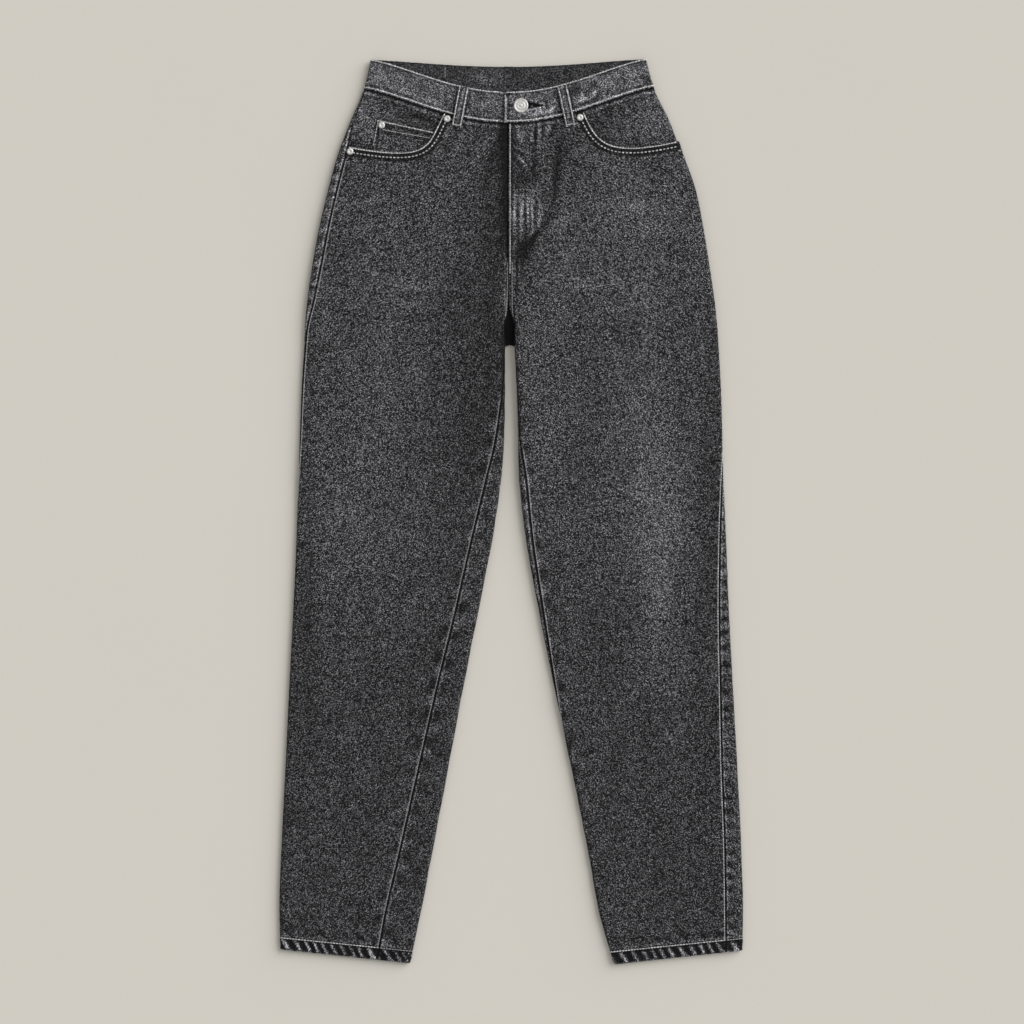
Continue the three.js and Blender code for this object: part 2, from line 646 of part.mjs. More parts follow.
function backLoop(centreX, topY, bottomY) {
  const half = LOOP_WIDTH / 2;
  const corner = 1.2;
  return flatPiece([
    [centreX - half, topY - corner], [centreX - half, bottomY + corner],
    [centreX - half + corner, bottomY], [centreX + half - corner, bottomY],
    [centreX + half, bottomY + corner], [centreX + half, topY - corner],
    [centreX + half - corner, topY], [centreX - half + corner, topY],
  ]);
}

// Materials
const denim = (color) => new THREE.MeshStandardMaterial({ color, roughness: 0.92, metalness: 0 });
const metal = () => new THREE.MeshStandardMaterial({ color: 0xb9b8b4, roughness: 0.35, metalness: 0.9 });
const PANEL_GREY = 0x3f3e40;
const BAND_GREY = 0x565557;
const FACING_GREY = 0x353437;

// The garment
const jeans = new THREE.Group();

function add(name, geometry, material) {
  geometry.computeVertexNormals();
  const mesh = new THREE.Mesh(geometry, material);
  mesh.name = name;
  jeans.add(mesh);
}

add("front_right", frontPanel(RIGHT), denim(PANEL_GREY));
add("front_left", frontPanel(LEFT), denim(PANEL_GREY));
add("back_right", backPanel(RIGHT), denim(PANEL_GREY));
add("back_left", backPanel(LEFT), denim(PANEL_GREY));
add("yoke_right", yoke(RIGHT), denim(PANEL_GREY));
add("yoke_left", yoke(LEFT), denim(PANEL_GREY));
add("pocket_facing_right", pocketFacing(RIGHT), denim(FACING_GREY));
add("pocket_facing_left", pocketFacing(LEFT), denim(FACING_GREY));
add("coin_pocket", coinPocket(), denim(PANEL_GREY));
add("back_pocket_right", backPocket(-88), denim(PANEL_GREY));
add("back_pocket_left", backPocket(82), denim(PANEL_GREY));

const overlapTop = topAt(LEFT, ...BUTTON_PLACE) + BAND_PROUD;
const underlapTop = overlapTop - BAND_SINK;
const hole = buttonholeCutter(underlapTop + 0.15, overlapTop + 3);
add("waistband", asGeometry(asSolid(waistband()).subtract(hole)), denim(BAND_GREY));
add("button", button(underlapTop, overlapTop), metal());

add("belt_loop_front_right", frontLoop([-54.9, 493.0], [-63.6, 446.7]), denim(BAND_GREY));
add("belt_loop_front_left", frontLoop([58.8, 493.2], [68.7, 447.3]), denim(BAND_GREY));
add("belt_loop_back_right", backLoop(-108, 521, 474), denim(BAND_GREY));
add("belt_loop_back_centre", backLoop(-3, 517, 470), denim(BAND_GREY));
add("belt_loop_back_left", backLoop(102, 521, 474), denim(BAND_GREY));

add("rivet_right_inner", rivet([-74.4, 455.5], 0), metal());
add("rivet_right_outer", rivet([-187.0, 417.6], 0), metal());
add("rivet_coin_pocket", rivet([-150.5, 448.2], CLOTH + SEAM_GAP), metal());
add("rivet_left_inner", rivet([79.7, 457.0], 0), metal());
add("rivet_left_outer", underRivet([188.5, 424.0]), metal());

export default jeans;
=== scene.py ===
"""Tapered five-pocket jeans in washed charcoal denim, laid out flat with the front up.

The cloth is worked out in millimetres and goes into the meshes in metres. +X is the wearer's left,
+Y runs from the hems to the waist and +Z points up. Each half of the jeans is one flattened tube:
place() turns a row number and a distance round the tube into a point, and every piece of cloth is a
patch of that surface, with its seams, puckers and creases pushed in or out of it."""
import math

import bpy
import numpy as np
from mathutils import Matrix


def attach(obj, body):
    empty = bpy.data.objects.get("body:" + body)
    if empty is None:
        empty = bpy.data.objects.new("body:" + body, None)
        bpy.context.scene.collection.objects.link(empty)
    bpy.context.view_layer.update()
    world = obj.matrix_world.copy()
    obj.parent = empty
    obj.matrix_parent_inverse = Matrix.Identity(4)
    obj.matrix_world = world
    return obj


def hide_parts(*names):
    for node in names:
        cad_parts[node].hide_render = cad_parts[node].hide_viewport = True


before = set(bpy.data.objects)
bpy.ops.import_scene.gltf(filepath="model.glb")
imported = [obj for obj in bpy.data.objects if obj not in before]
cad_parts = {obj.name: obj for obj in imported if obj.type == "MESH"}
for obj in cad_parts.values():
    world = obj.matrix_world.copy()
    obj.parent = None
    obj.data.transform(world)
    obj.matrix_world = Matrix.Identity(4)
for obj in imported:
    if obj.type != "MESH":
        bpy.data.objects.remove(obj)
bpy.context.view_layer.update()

MM = 0.001

# Driving dimensions, in millimetres
CLOTH = 1.2
FACING_CLOTH = 1.0
BAND_CLOTH = 2.6
BAND_PROUD = 0.6
BAND_HEIGHT = 34.0
HEM_CLOTH = 2.5
HEM_HEIGHT = 15.0
HEM_ROW = 18.65
HEM_TWIST_ROW = 18
HEM_TWIST = 11.2
LAST_ROW = 19.0
HEM_STITCH = 12.6
HEM_STITCH_ROW = 18.69
SEAM_GAP = 0.3
FLY_LAP = 8.0
FLY_SINK = 2.0
LAP_RUN = 5.5
BAND_SINK = BAND_CLOTH + SEAM_GAP
UNDERLAP_LENGTH = 37.0
BAND_LAP = 18.0
BAND_LAP_EASE = 11.0
BAND_SEED = 201
OVERLAP_LENGTH = 5.0
BAND_CORNER = 6.0
BUTTON_PLACE = (11.2, 470.5)
BUTTON_RADIUS = 8.5
BUTTONHOLE_END = 38.0
TURNED_SIDES = 48
RIVET_RADIUS = 3.9
LOOP_WIDTH = 11.0
LOOP_LENGTH = 47.0
LOOP_CLOTH = 1.6
LOOP_ARCH = 1.1
PATCH_CLOTH = 1.2
PANEL_TOP = 1.01
BAND_MIDDLE = 0.5
OUTER_SWELL = 35.0
INNER_SWELL = 30.0
WAIST_CURVE = 1.3
FOLD_REACH = 5.0
YOKE_OUTER_ROW = 2.2
YOKE_INNER_ROW = 3.05
YOKE_HALF_GAP = 0.006
MOUTH_UNDER = 25.0
MOUTH_PAST = 18.0
MOUTH_POINTS = 240
MOUTH_FAR = 200.0
FACING_EASE = 12.0
FACING_FOLD_ROOM = 0.6
COIN_WIDTH = 74.0
COIN_HEIGHT = 38.0
COIN_CLOTH = 1.1
STITCH_LIFT = 0.12
BAND_STITCH_LIFT = 0.4

# Rows and columns of points in each grid of cloth
FRONT_GRID = (430, 100)
BACK_GRID = (400, 84)
YOKE_GRID = (26, 70)
FACING_GRID = (90, 110)
COIN_GRID = (74, 120)
LOOP_GRID = (70, 17)
PATCH_GRID = (40, 40)

QUARTER = math.pi / 2
FOLD_SPARE = QUARTER - 1  # how much longer a quarter of a round fold is than its radius


def table(names, rows):
    """A short table as one array for each named column."""
    return dict(zip(names, np.array(rows, float).T))


# Row 0 is the waistband's top edge, 1 the waist seam, 8 the crotch and 19 the hem. out_x and out_y are
# the outer fold's place and in_x is the inner edge's. The drops are how much lower the inner edge is,
# on the front and on the back. out_seam and in_seam are how far round from its fold each seam lies.
OUTLINE = ("out_x", "out_y", "in_x", "front_drop", "back_drop", "out_seam", "in_seam")
RIGHT_ROWS = table(OUTLINE, [
    [-163.1, 523.9, -3.0, 37.5, 8.1, 3.2, 0],
    [-170.7, 490.9, -3.0, 39.4, 8.8, 3.2, 0],
    [-185.8, 454.3, -3.0, 34.8, 8.0, 5.3, 0],
    [-200.9, 414.9, -3.0, 30.2, 6.0, 10.7, 0],
    [-212.6, 373.1, -3.0, 25.5, 4.0, 11.7, 0],
    [-223.5, 326.7, -3.0, 19.7, 3.0, 12.2, 0],
    [-231.8, 280.3, -3.0, 13.9, 2.0, 11.7, 0],
    [-236.8, 243.2, -3.0, 7.0, 1.0, 9.0, 0],
    [-239.3, 215.4, -6.4, 0, 0, 4.6, 0],
    [-240.3, 193.3, -7.3, 0, 0, 3.3, 2.0],
    [-243.5, 141.1, -7.5, 0, 0, 2.6, 6.0],
    [-245.6, 83.1, -8.5, 0, 0, 2.0, 12.8],
    [-246.9, 36.7, -12.0, 1.2, 1.2, 0.3, 20.0],
    [-249.2, -32.9, -22.4, 2.9, 2.9, -2.5, 26.2],
    [-253.0, -114.1, -38.8, 5.2, 5.2, -4.3, 28.5],
    [-257.3, -195.3, -55.3, 7.5, 7.5, -4.8, 32.1],
    [-261.6, -288.1, -73.1, 9.9, 9.9, -5.0, 35.7],
    [-266.3, -380.9, -91.2, 12.8, 12.8, -5.0, 39.2],
    [-269.0, -450.5, -104.8, 14.5, 14.5, -5.0, 41.9],
    [-268.0, -507.3, -117.2, 16.2, 16.2, -5.0, 40.0],
])
LEFT_ROWS = table(OUTLINE, [
    [156.3, 524.7, -3.0, 38.3, 8.9, -6.0, 0],
    [165.5, 492.6, -3.0, 41.1, 10.5, -6.0, 0],
    [184.9, 454.3, -3.0, 34.8, 8.0, -9.0, 0],
    [199.7, 414.9, -3.0, 30.2, 6.0, -11.0, 0],
    [214.2, 373.1, -3.0, 25.5, 4.0, -11.0, 0],
    [223.5, 326.7, -3.0, 19.7, 3.0, -10.0, 0],
    [230.8, 280.3, -3.0, 13.9, 2.0, -8.0, 0],
    [236.0, 243.2, -3.0, 7.0, 1.0, -6.5, 0],
    [238.9, 215.4, 2.6, 0, 0, -5.5, 0],
    [240.4, 193.3, 3.7, 0, 0, -5.0, 1.0],
    [243.3, 141.1, 6.4, 0, 0, -3.5, 2.6],
    [245.0, 83.1, 8.2, 0, 0, -1.2, 5.0],
    [246.2, 36.7, 9.4, 1.2, 1.2, 3.2, 10.4],
    [249.3, -32.9, 17.7, 2.9, 2.9, 8.8, 9.2],
    [252.6, -114.1, 33.0, 5.2, 5.2, 13.0, 6.2],
    [256.9, -195.3, 49.7, 7.5, 7.5, 16.0, 2.6],
    [262.1, -288.1, 70.0, 9.9, 9.9, 19.4, -3.3],
    [266.7, -380.9, 89.2, 12.8, 12.8, 20.8, -4.8],
    [269.0, -450.5, 102.1, 14.5, 14.5, 22.0, -5.8],
    [268.4, -508.5, 119.5, 16.2, 16.2, 20.8, -5.8],
])

# How high each row lies, how thick it is at its outer fold, in its middle and at its inner fold, how
# far its inner edge is folded, from 0 above the crotch to 1, and how much its drop bends.
LEVELS = table(("lift", "outer", "middle", "inner", "crotch", "bend"), [
    [1.5, 6.0, 6.1, 7.8, 0, 1],
    [1.5, 6.2, 6.1, 7.7, 0, 1],
    [1.5, 6.2, 6.0, 7.0, 0, 0.7],
    [1.5, 6.2, 5.8, 6.5, 0, 0.45],
    [1.5, 6.2, 5.6, 6.2, 0, 0.3],
    [1.5, 6.2, 5.4, 6.2, 0, 0.2],
    [1.5, 6.2, 5.2, 6.0, 0, 0.1],
    [1.5, 6.2, 5.0, 6.8, 0.35, 0],
    [1.0, 6.2, 4.8, 9.0, 1, 0],
    [0.6, 6.2, 4.7, 10.8, 1, 0],
    [0.1, 6.2, 4.6, 11.2, 1, 0],
    [0, 6.2, 4.5, 10.4, 1, 0],
    [0, 6.2, 4.4, 8.6, 1, 0],
    [0, 6.2, 4.4, 7.0, 1, 0],
    [0, 6.2, 4.4, 6.2, 1, 0],
    [0, 6.2, 4.5, 6.2, 1, 0],
    [0, 6.2, 4.6, 6.2, 1, 0],
    [0, 6.2, 4.8, 6.2, 1, 0],
    [0, 6.2, 5.2, 6.2, 1, 0],
    [0, 6.0, 5.7, 6.0, 1, 0],
])

# Soft folds, creases and worn patches of the fronts. Each lies along a line through its centre: angle
# is the line's direction in degrees, length and width are how far it fades out, height is how far it
# stands up, and tone how much paler it is worn, or, where below zero in a fold or crease, how much darker it
# is painted as shade.
MARK = ("x", "y", "angle", "length", "width", "height", "tone")
FRONT_MARKS = table(MARK, [
    # Large soft folds
    [-10, 330, 90, 110, 7, -0.7, -0.12],
    [64, 396, 86, 50, 8, 0.5, 0.06],
    [150, 356, -4, 60, 8, 0.5, 0.12],
    [140, 338, -5, 70, 9, -0.4, -0.06],
    [-120, 344, 5, 70, 10, 0.4, 0.08],
    [-70, 255, 30, 70, 12, -0.6, -0.05],
    [62, 250, -32, 70, 12, -0.6, -0.08],
    [120, 262, -12, 60, 9, 0.5, 0.12],
    [-160, -40, 84, 150, 26, -0.5, 0],
    [150, -10, 96, 170, 28, -0.5, 0],
    # The fly: a soft fold beside it, creases under the band, and ridges worn pale over the stitching, with
    # painted shade in the folds and creases
    [51.9, 390, 84, 42, 3.7, -0.7, -1.16],
    [27, 396, 90, 34, 2.1, -0.3, -0.87],
    [28.1, 436, 90, 13, 1.6, -0.4, -1.89],
    [24.8, 439, 90, 11, 1.8, 0.35, 1.3],
    [32, 436, 90, 14, 2, 0.35, 1.3],
    [36, 436, 90, 12, 1.6, -0.3, -1.01],
    [11.3, 434.6, 100, 9, 5, 0.2, 0.87],
    [4.5, 424, 90, 14, 2.2, -0.2, -1.01],
    [42.6, 442.7, 60, 9, 4, 0.2, 0.72],
    [48.5, 444, 75, 9, 1.6, -0.3, -1.16],
    [10.6, 419.5, -25, 9, 1.5, 0.3, 1.16],
    [10.2, 415.6, -25, 9, 1.6, -0.3, -1.3],
    [13.6, 405, -50, 11, 1.6, 0.3, 1.16],
    [9.6, 401.2, -50, 10, 1.6, -0.3, -1.3],
    [21, 400, -60, 10, 1.6, -0.3, -1.01],
    [17, 389, 0, 14, 7, 0, -0.51],
    [12, 378, 90, 12, 10, 0, -0.87],
    [24, 352, 90, 26, 11, 0, 0.65],
    [7, 352, 90, 26, 10, 0, 0.65],
    [3.1, 345, 90, 20, 1.9, 0.4, 0.87],
    [7.6, 345, 90, 22, 1.4, -0.4, -1.45],
    [12, 345, 90, 19, 2.2, 0.4, 0.87],
    [15.8, 345, 90, 22, 1.3, -0.4, -1.59],
    [19.4, 346, 90, 17, 1.5, 0.3, 0.87],
    [21.7, 345, 90, 22, 1.1, -0.3, -1.45],
    [24, 345, 90, 17, 1.4, 0.3, 0.87],
    [28.2, 343, 90, 18, 1.7, -0.4, -1.45],
    [32.7, 339, 88, 14, 2.4, 0.3, 0.72],
    [24, 324, 52, 9, 1.8, 0.3, 1.01],
    [27, 320, 52, 10, 1.6, -0.3, -1.3],
    [13, 301, 74, 18, 8, -0.4, -1.45],
    [26, 317.4, 57, 14, 4, -0.4, -1.01],
    [38, 332, 62, 16, 4, -0.3, -0.58],
    [57.7, 339.5, 40, 9, 6, 0.2, 0.65],
    [3.4, 275, 90, 26, 1.3, 0.3, 1.16],
    [6.4, 272, 90, 22, 1.3, -0.3, -1.45],
    [9, 278, 88, 12, 1.3, 0.3, 0.87],
    # Beside the fly on the other front
    [-26, 430, 60, 26, 4, 0.3, 0.35],
    [-40, 412, 62, 40, 5, 0.3, 0.25],
    [-24, 402, 75, 40, 5, -0.4, -0.4],
    [-60, 425, 58, 30, 5, 0.2, 0.3],
    [-9.6, 338, 90, 50, 6, -0.3, -0.45],
    [-7.2, 290, 90, 56, 1.4, 0.3, 0.9],
    [-73.9, 442, 60, 14, 4, 0.15, 0.5],
    [-51, 440, 0, 12, 5, 0.1, 0.25],
    # Fades of the legs and hips, and whiskers across the hips
    [158, 60, 97, 150, 40, 0, 0.42],
    [172, -80, 92, 110, 22, 0, 0.34],
    [160, -180, 90, 160, 60, 0, 0.10],
    [-165, 40, 88, 190, 48, 0, 0.16],
    [-52, 120, 82, 170, 34, 0, -0.32],
    [-20, 180, 86, 70, 12, 0, -0.25],
    [232, 60, 88, 260, 14, 0, -0.25],
    [-236, 0, 90, 330, 10, 0, -0.2],
    [40, 190, 70, 60, 22, 0, 0.12],
    [-129, 303, 0, 90, 60, 0, 0.05],
    [130, 330, 0, 80, 70, 0, 0.24],
    [150, 348, -4, 56, 9, 0.3, 0.3],
    # Painted shadow round the rivets
    [-74.4, 455.5, 0, 5.4, 5.4, 0, -0.8],
    [-187, 417.6, 0, 5.4, 5.4, 0, -0.8],
    [79.7, 457, 0, 5.4, 5.4, 0, -0.8],
    # More fades of the legs and hips, and whiskers
    [-52, 260, 84, 80, 30, 0, -0.22],
    [-24, 300, 88, 90, 10, 0, -0.25],
    [62, 420, 80, 40, 16, 0, -0.2],
    [165, 330, -6, 50, 4, 0.2, 0.32],
    [92, 262, -2, 50, 4, 0.3, 0.4],
    [120, 236, 8, 60, 4, 0.2, 0.28],
    [-180, 356, 14, 36, 5, 0.3, 0.4],
    [-170, 330, 10, 40, 4, 0.2, 0.3],
    [-88, 258, -3, 62, 4, 0.3, 0.38],
    [-110, 240, -6, 60, 4, 0.2, 0.16],
    [-150, 224, 3, 50, 5, 0.2, -0.16],
    [110, 214, 0, 70, 6, 0.2, -0.14],
])

RIGHT_MOUTH = ((-77, 464), (-100, 426), (-86, 405), (-192, 424))
LEFT_MOUTH = ((84, 464), (99, 432), (105, 410), (193, 430))


# Numbers

def mix(a, b, t):
    """From a to b."""
    return a + (b - a) * t


def ease(t):
    """From 0 to 1 with level ends, and held there outside."""
    t = np.clip(t, 0, 1)
    return t * t * (3 - 2 * t)


def bell(distance, reach):
    """1 at no distance, fading out past the reach."""
    return np.exp(-(distance / reach) ** 2)


def bells(distance, *terms):
    """Bells added up, each with its amount, its centre and its reach."""
    return sum(amount * bell(distance - centre, reach) for amount, centre, reach in terms)


def unit(vectors):
    """The vectors at a length of one."""
    return vectors / np.maximum(np.linalg.norm(vectors, axis=-1, keepdims=True), 1e-9)


LATTICE = 64
HALVINGS = 26


def drift(x, y, seed):
    """Smooth noise from -1 to 1: seeded values at whole numbers, eased between them."""
    values = np.random.RandomState(seed).uniform(-1, 1, (LATTICE, LATTICE))
    x, y = np.broadcast_arrays(np.asarray(x, float), np.asarray(y, float))
    i, j = np.floor(x).astype(int), np.floor(y).astype(int)
    a, b = ease(x - i), ease(y - j)
    low = mix(values[i % LATTICE, j % LATTICE], values[(i + 1) % LATTICE, j % LATTICE], a)
    high = mix(values[i % LATTICE, (j + 1) % LATTICE], values[(i + 1) % LATTICE, (j + 1) % LATTICE], a)
    return mix(low, high, b)


def roping(along, spacing, seed):
    """A wave from -1 to 1 along a seam whose crests come unevenly: a cosine with a drifting phase."""
    phase = drift(along / (3.1 * spacing), 0.5, seed)
    swell = drift(along / (2.3 * spacing), 7.5, seed)
    return np.cos(2 * np.pi * (along / spacing + 0.6 * phase)) * (0.7 + 0.3 * swell)


# The flattened tubes

def at(column, v):
    """A smooth curve through one column, whose slope at each row is set by the rows beside it."""
    last = len(column) - 1
    i = np.clip(np.floor(v).astype(int), 0, last - 1)
    t = v - i
    start = (column[i + 1] - column[np.maximum(i - 1, 0)]) / 2
    end = (column[np.minimum(i + 2, last)] - column[i]) / 2
    rise = t * t * (3 - 2 * t)
    return mix(column[i], column[i + 1], rise) + start * t * (1 - t) ** 2 - end * t * t * (1 - t)


class Half:
    """One half of the jeans: its rows, its pocket mouth, how deep its facing lies, how far its front laps
    under the other, the row from which its inseam shows, and the seeds of its pieces."""

    def __init__(self, side, rows, mouth, facing_depth, lap, inseam_row, seeds):
        self.side = side
        self.rows = rows
        self.mouth = curve_points(mouth, MOUTH_POINTS)
        self.facing_depth = facing_depth
        self.lap = lap
        self.inseam_row = inseam_row
        self.front_seed, self.back_seed, self.facing_seed, self.leg_seed = seeds


def curve_points(corners, count):
    """A Bezier curve with two end points and two guide points."""
    a, b, c, d = (np.array(corner, float) for corner in corners)
    t = np.linspace(0, 1, count)[:, None]
    return a * (1 - t) ** 3 + 3 * b * t * (1 - t) ** 2 + 3 * c * t * t * (1 - t) + d * t ** 3


RIGHT = Half("right", RIGHT_ROWS, RIGHT_MOUTH, 2.9, FLY_LAP, 10.2, (10, 70, 130, 300))
LEFT = Half("left", LEFT_ROWS, LEFT_MOUTH, 1.5, 0.0, 11.2, (40, 100, 150, 320))


def section(half, v):
    """One row of a half: its table values, its width and the half length of its loop. Both folds are
    half circles, so the loop is longer than the width by a little at each fold."""
    v = np.asarray(v, float)
    row = {name: at(column, v) for name, column in {**half.rows, **LEVELS}.items()}
    row["lift"] = np.maximum(row["lift"], 0)
    row["crotch"] = np.clip(row["crotch"], 0, 1)
    row["width"] = np.abs(row["in_x"] - row["out_x"])
    row["outer_radius"] = row["outer"] / 2
    row["inner_radius"] = row["inner"] / 2
    row["length"] = row["width"] + FOLD_SPARE * (row["outer_radius"] + row["crotch"] * row["inner_radius"])
    return row


def marks(columns, x, y):
    """The height and the tone of a table of marks: each fades out along and across its own line."""
    height = np.zeros_like(x)
    tone = np.zeros_like(x)
    for i in range(len(columns["x"])):
        mark = {name: column[i] for name, column in columns.items()}
        turn = math.radians(mark["angle"])
        dx, dy = x - mark["x"], y - mark["y"]
        along = (dx * math.cos(turn) + dy * math.sin(turn)) / mark["length"]
        across = (dy * math.cos(turn) - dx * math.sin(turn)) / mark["width"]
        weight = np.exp(-along ** 2 - across ** 2)
        height += mark["height"] * weight
        tone += mark["tone"] * weight
    return height, tone


def round_fold(distance, radius):
    """How far a distance turns round a fold, and how far across the row it reaches."""
    turn = np.clip(distance / radius, 0, QUARTER)
    return turn, radius * (1 - np.cos(turn) - QUARTER) + np.maximum(distance, radius * QUARTER)


def place(half, v, s, outward=0.0):
    """A point of a half's surface. v is the row and s the distance round the loop from the outer fold,
    above zero on the front; outward moves the point off the surface along its normal. Past the inner
    fold the surface runs on underneath."""
    v, s, outward = np.broadcast_arrays(np.asarray(v, float), np.asarray(s, float), outward)
    row = section(half, v)
    around = np.abs(s)
    side = np.where(s >= 0, 1.0, -1.0)
    past = (row["crotch"] >= 1) & (around > row["length"])
    around = np.where(past, 2 * row["length"] - around, around)
    side = np.where(past, -side, side)
    left = row["length"] - around
    outer_turn, outer_across = round_fold(around, row["outer_radius"])
    inner_turn, folded = round_fold(left, row["inner_radius"])
    inner_across = row["width"] - mix(left, folded, row["crotch"])

    near = around < row["length"] / 2
    across = np.where(near, outer_across, inner_across)
    fullness = np.where(near, np.sin(outer_turn), mix(1.0, np.sin(inner_turn), row["crotch"]))
    normal_across = np.where(near, -np.cos(outer_turn), row["crotch"] * np.cos(inner_turn))
    outer_swell = (row["outer"] - row["middle"]) * bell(across, OUTER_SWELL)
    inner_swell = (row["inner"] - row["middle"]) * bell(row["width"] - across, INNER_SWELL)
    half_thick = (row["middle"] + outer_swell + inner_swell) / 2
    part = (across + outward * normal_across) / row["width"]
    curved = np.sin(QUARTER * np.clip(part, 0, 1)) ** WAIST_CURVE
    drop = np.where(side > 0, row["front_drop"], row["back_drop"]) * mix(part, curved, row["bend"])
    x = mix(row["out_x"], row["in_x"], part)
    y = row["out_y"] - drop
    z = row["lift"] + half_thick * (1 + side * fullness) + outward * side * fullness
    return np.stack([x, y, z], axis=-1)


def plan(half, v, s):
    """The x and y of places on a half."""
    spot = place(half, v, s)
    return spot[..., 0], spot[..., 1]


def raised(half, v, s, lift):
    """Points over a half's surface, and its normals there."""
    point = place(half, v, s, lift)
    return point, unit(place(half, v, s, lift + 1) - point)


def around_at(half, v, x):
    """The distance round the loop of a place on the front at the given x."""
    row = section(half, v)
    return np.abs(x - row["out_x"]) + FOLD_SPARE * row["outer_radius"]


def waist_height(half, x):
    """The waist seam's height at the given x."""
    top = np.full_like(x, PANEL_TOP)
    return plan(half, top, around_at(half, top, x))[1]


def find_rows(low, high, fall):
    """The rows at which a falling function passes zero, by halving."""
    for _ in range(HALVINGS):
        middle = (low + high) / 2
        above = fall(middle) > 0
        low = np.where(above, middle, low)
        high = np.where(above, high, middle)
    return (low + high) / 2


def locate(half, x, y, top=0.0):
    """The row and the distance round of places on the front seen from above."""
    x, y = np.asarray(x, float), np.asarray(y, float)
    v = find_rows(np.full(x.shape, top), np.full(x.shape, 12.0),
                  lambda row: plan(half, row, around_at(half, row, x))[1] - y)
    return v, around_at(half, v, x)


def mouth_height(half, x):
    """The pocket mouth's height at the given x, steep past its inner end and level past its outer."""
    reach = np.abs(half.mouth[:, 0])
    height = np.interp(np.abs(x), reach, half.mouth[:, 1])
    return height + np.maximum(reach[0] - np.abs(x), 0) * 1.6


def mouth_distance(half, x, y):
    """How far places lie from the pocket mouth, and how far along it its nearest point is. Only places
    near the mouth are measured."""
    steps = np.linalg.norm(np.diff(half.mouth, axis=0), axis=1)
    run = np.concatenate([[0], np.cumsum(steps)])
    distance = np.full(x.shape, MOUTH_FAR)
    along = np.zeros(x.shape)
    close = (y > half.mouth[:, 1].min() - 40) & (np.abs(x) > 50)
    spots = np.stack([x[close], y[close]], axis=-1)
    if len(spots):
        gaps = np.linalg.norm(spots[:, None, :] - half.mouth[None, :, :], axis=-1)
        nearest = gaps.argmin(axis=1)
        distance[close] = gaps[np.arange(len(spots)), nearest]
        along[close] = run[nearest]
    return distance, along


# Meshes

EDGE_REACH = 40.0
EDGE_BULGE = 0.28
EDGE_TONE = 0.25
INNER_TONE = 0.7


def nearness(distance):
    """How near a sewn edge is, in millimetres: the most on the edge itself and 0 past the reach."""
    return np.clip(EDGE_REACH - np.abs(distance), 0, EDGE_REACH)


def mesh_object(name, points, faces, tone, cloth_uv, finish, near=None):
    """An object from points in millimetres, arrays of faces, and for each point a tone, a place on the
    cloth and how near its sewn edges are."""
    faces = facing_out(points, faces)
    loops = np.concatenate([face.ravel() for face in faces])
    sizes = np.concatenate([np.full(len(face), face.shape[1]) for face in faces])
    points[:, 2] = np.maximum(points[:, 2], 0)
    mesh = bpy.data.meshes.new(name)
    mesh.vertices.add(len(points))
    mesh.vertices.foreach_set("co", (points * MM).astype(np.float32).ravel())
    mesh.loops.add(len(loops))
    mesh.loops.foreach_set("vertex_index", loops.astype(np.int32))
    mesh.polygons.add(len(sizes))
    mesh.polygons.foreach_set("loop_start", np.concatenate([[0], np.cumsum(sizes)[:-1]]).astype(np.int32))
    mesh.update(calc_edges=True)
    mesh.validate()
    mesh.shade_smooth()
    for attribute, values in {"tone": tone, **(near or {})}.items():
        layer = mesh.attributes.new(attribute, "FLOAT", "POINT")
        layer.data.foreach_set("value", values.astype(np.float32))
    layer = mesh.uv_layers.new(name="cloth")
    layer.data.foreach_set("uv", (cloth_uv[loops] * MM).astype(np.float32).ravel())
    mesh.materials.append(finish)
    piece = bpy.data.objects.new(name, mesh)
    bpy.context.scene.collection.objects.link(piece)
    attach(piece, "root")
    return piece


def grid_faces(index):
    """The four-sided faces between the rows and columns of a grid of point numbers."""
    return np.stack([index[:-1, :-1], index[:-1, 1:], index[1:, 1:], index[1:, :-1]], axis=-1).reshape(-1, 4)


def facing_out(points, faces):
    """The faces of a closed mesh, turned round if they point inwards."""
    volume = 0.0
    for face in faces:
        a = points[face[:, 0]]
        for k in range(1, face.shape[1] - 1):
            volume += np.einsum("ij,ij->", a, np.cross(points[face[:, k]], points[face[:, k + 1]]))
    return [face[:, ::-1] for face in faces] if volume < 0 else faces


def capped_faces(rings, sides):
    """The faces of rings of points, closed at both ends by a pole. The two poles are numbered last."""
    index = np.arange(rings * sides).reshape(rings, sides)
    closed = np.concatenate([index, index[:, :1]], axis=1)
    first, last = np.full(sides, index.size), np.full(sides, index.size + 1)
    return [
        grid_faces(closed),
        np.stack([first, closed[0, 1:], closed[0, :-1]], axis=-1),
        np.stack([last, closed[-1, :-1], closed[-1, 1:]], axis=-1),
    ]


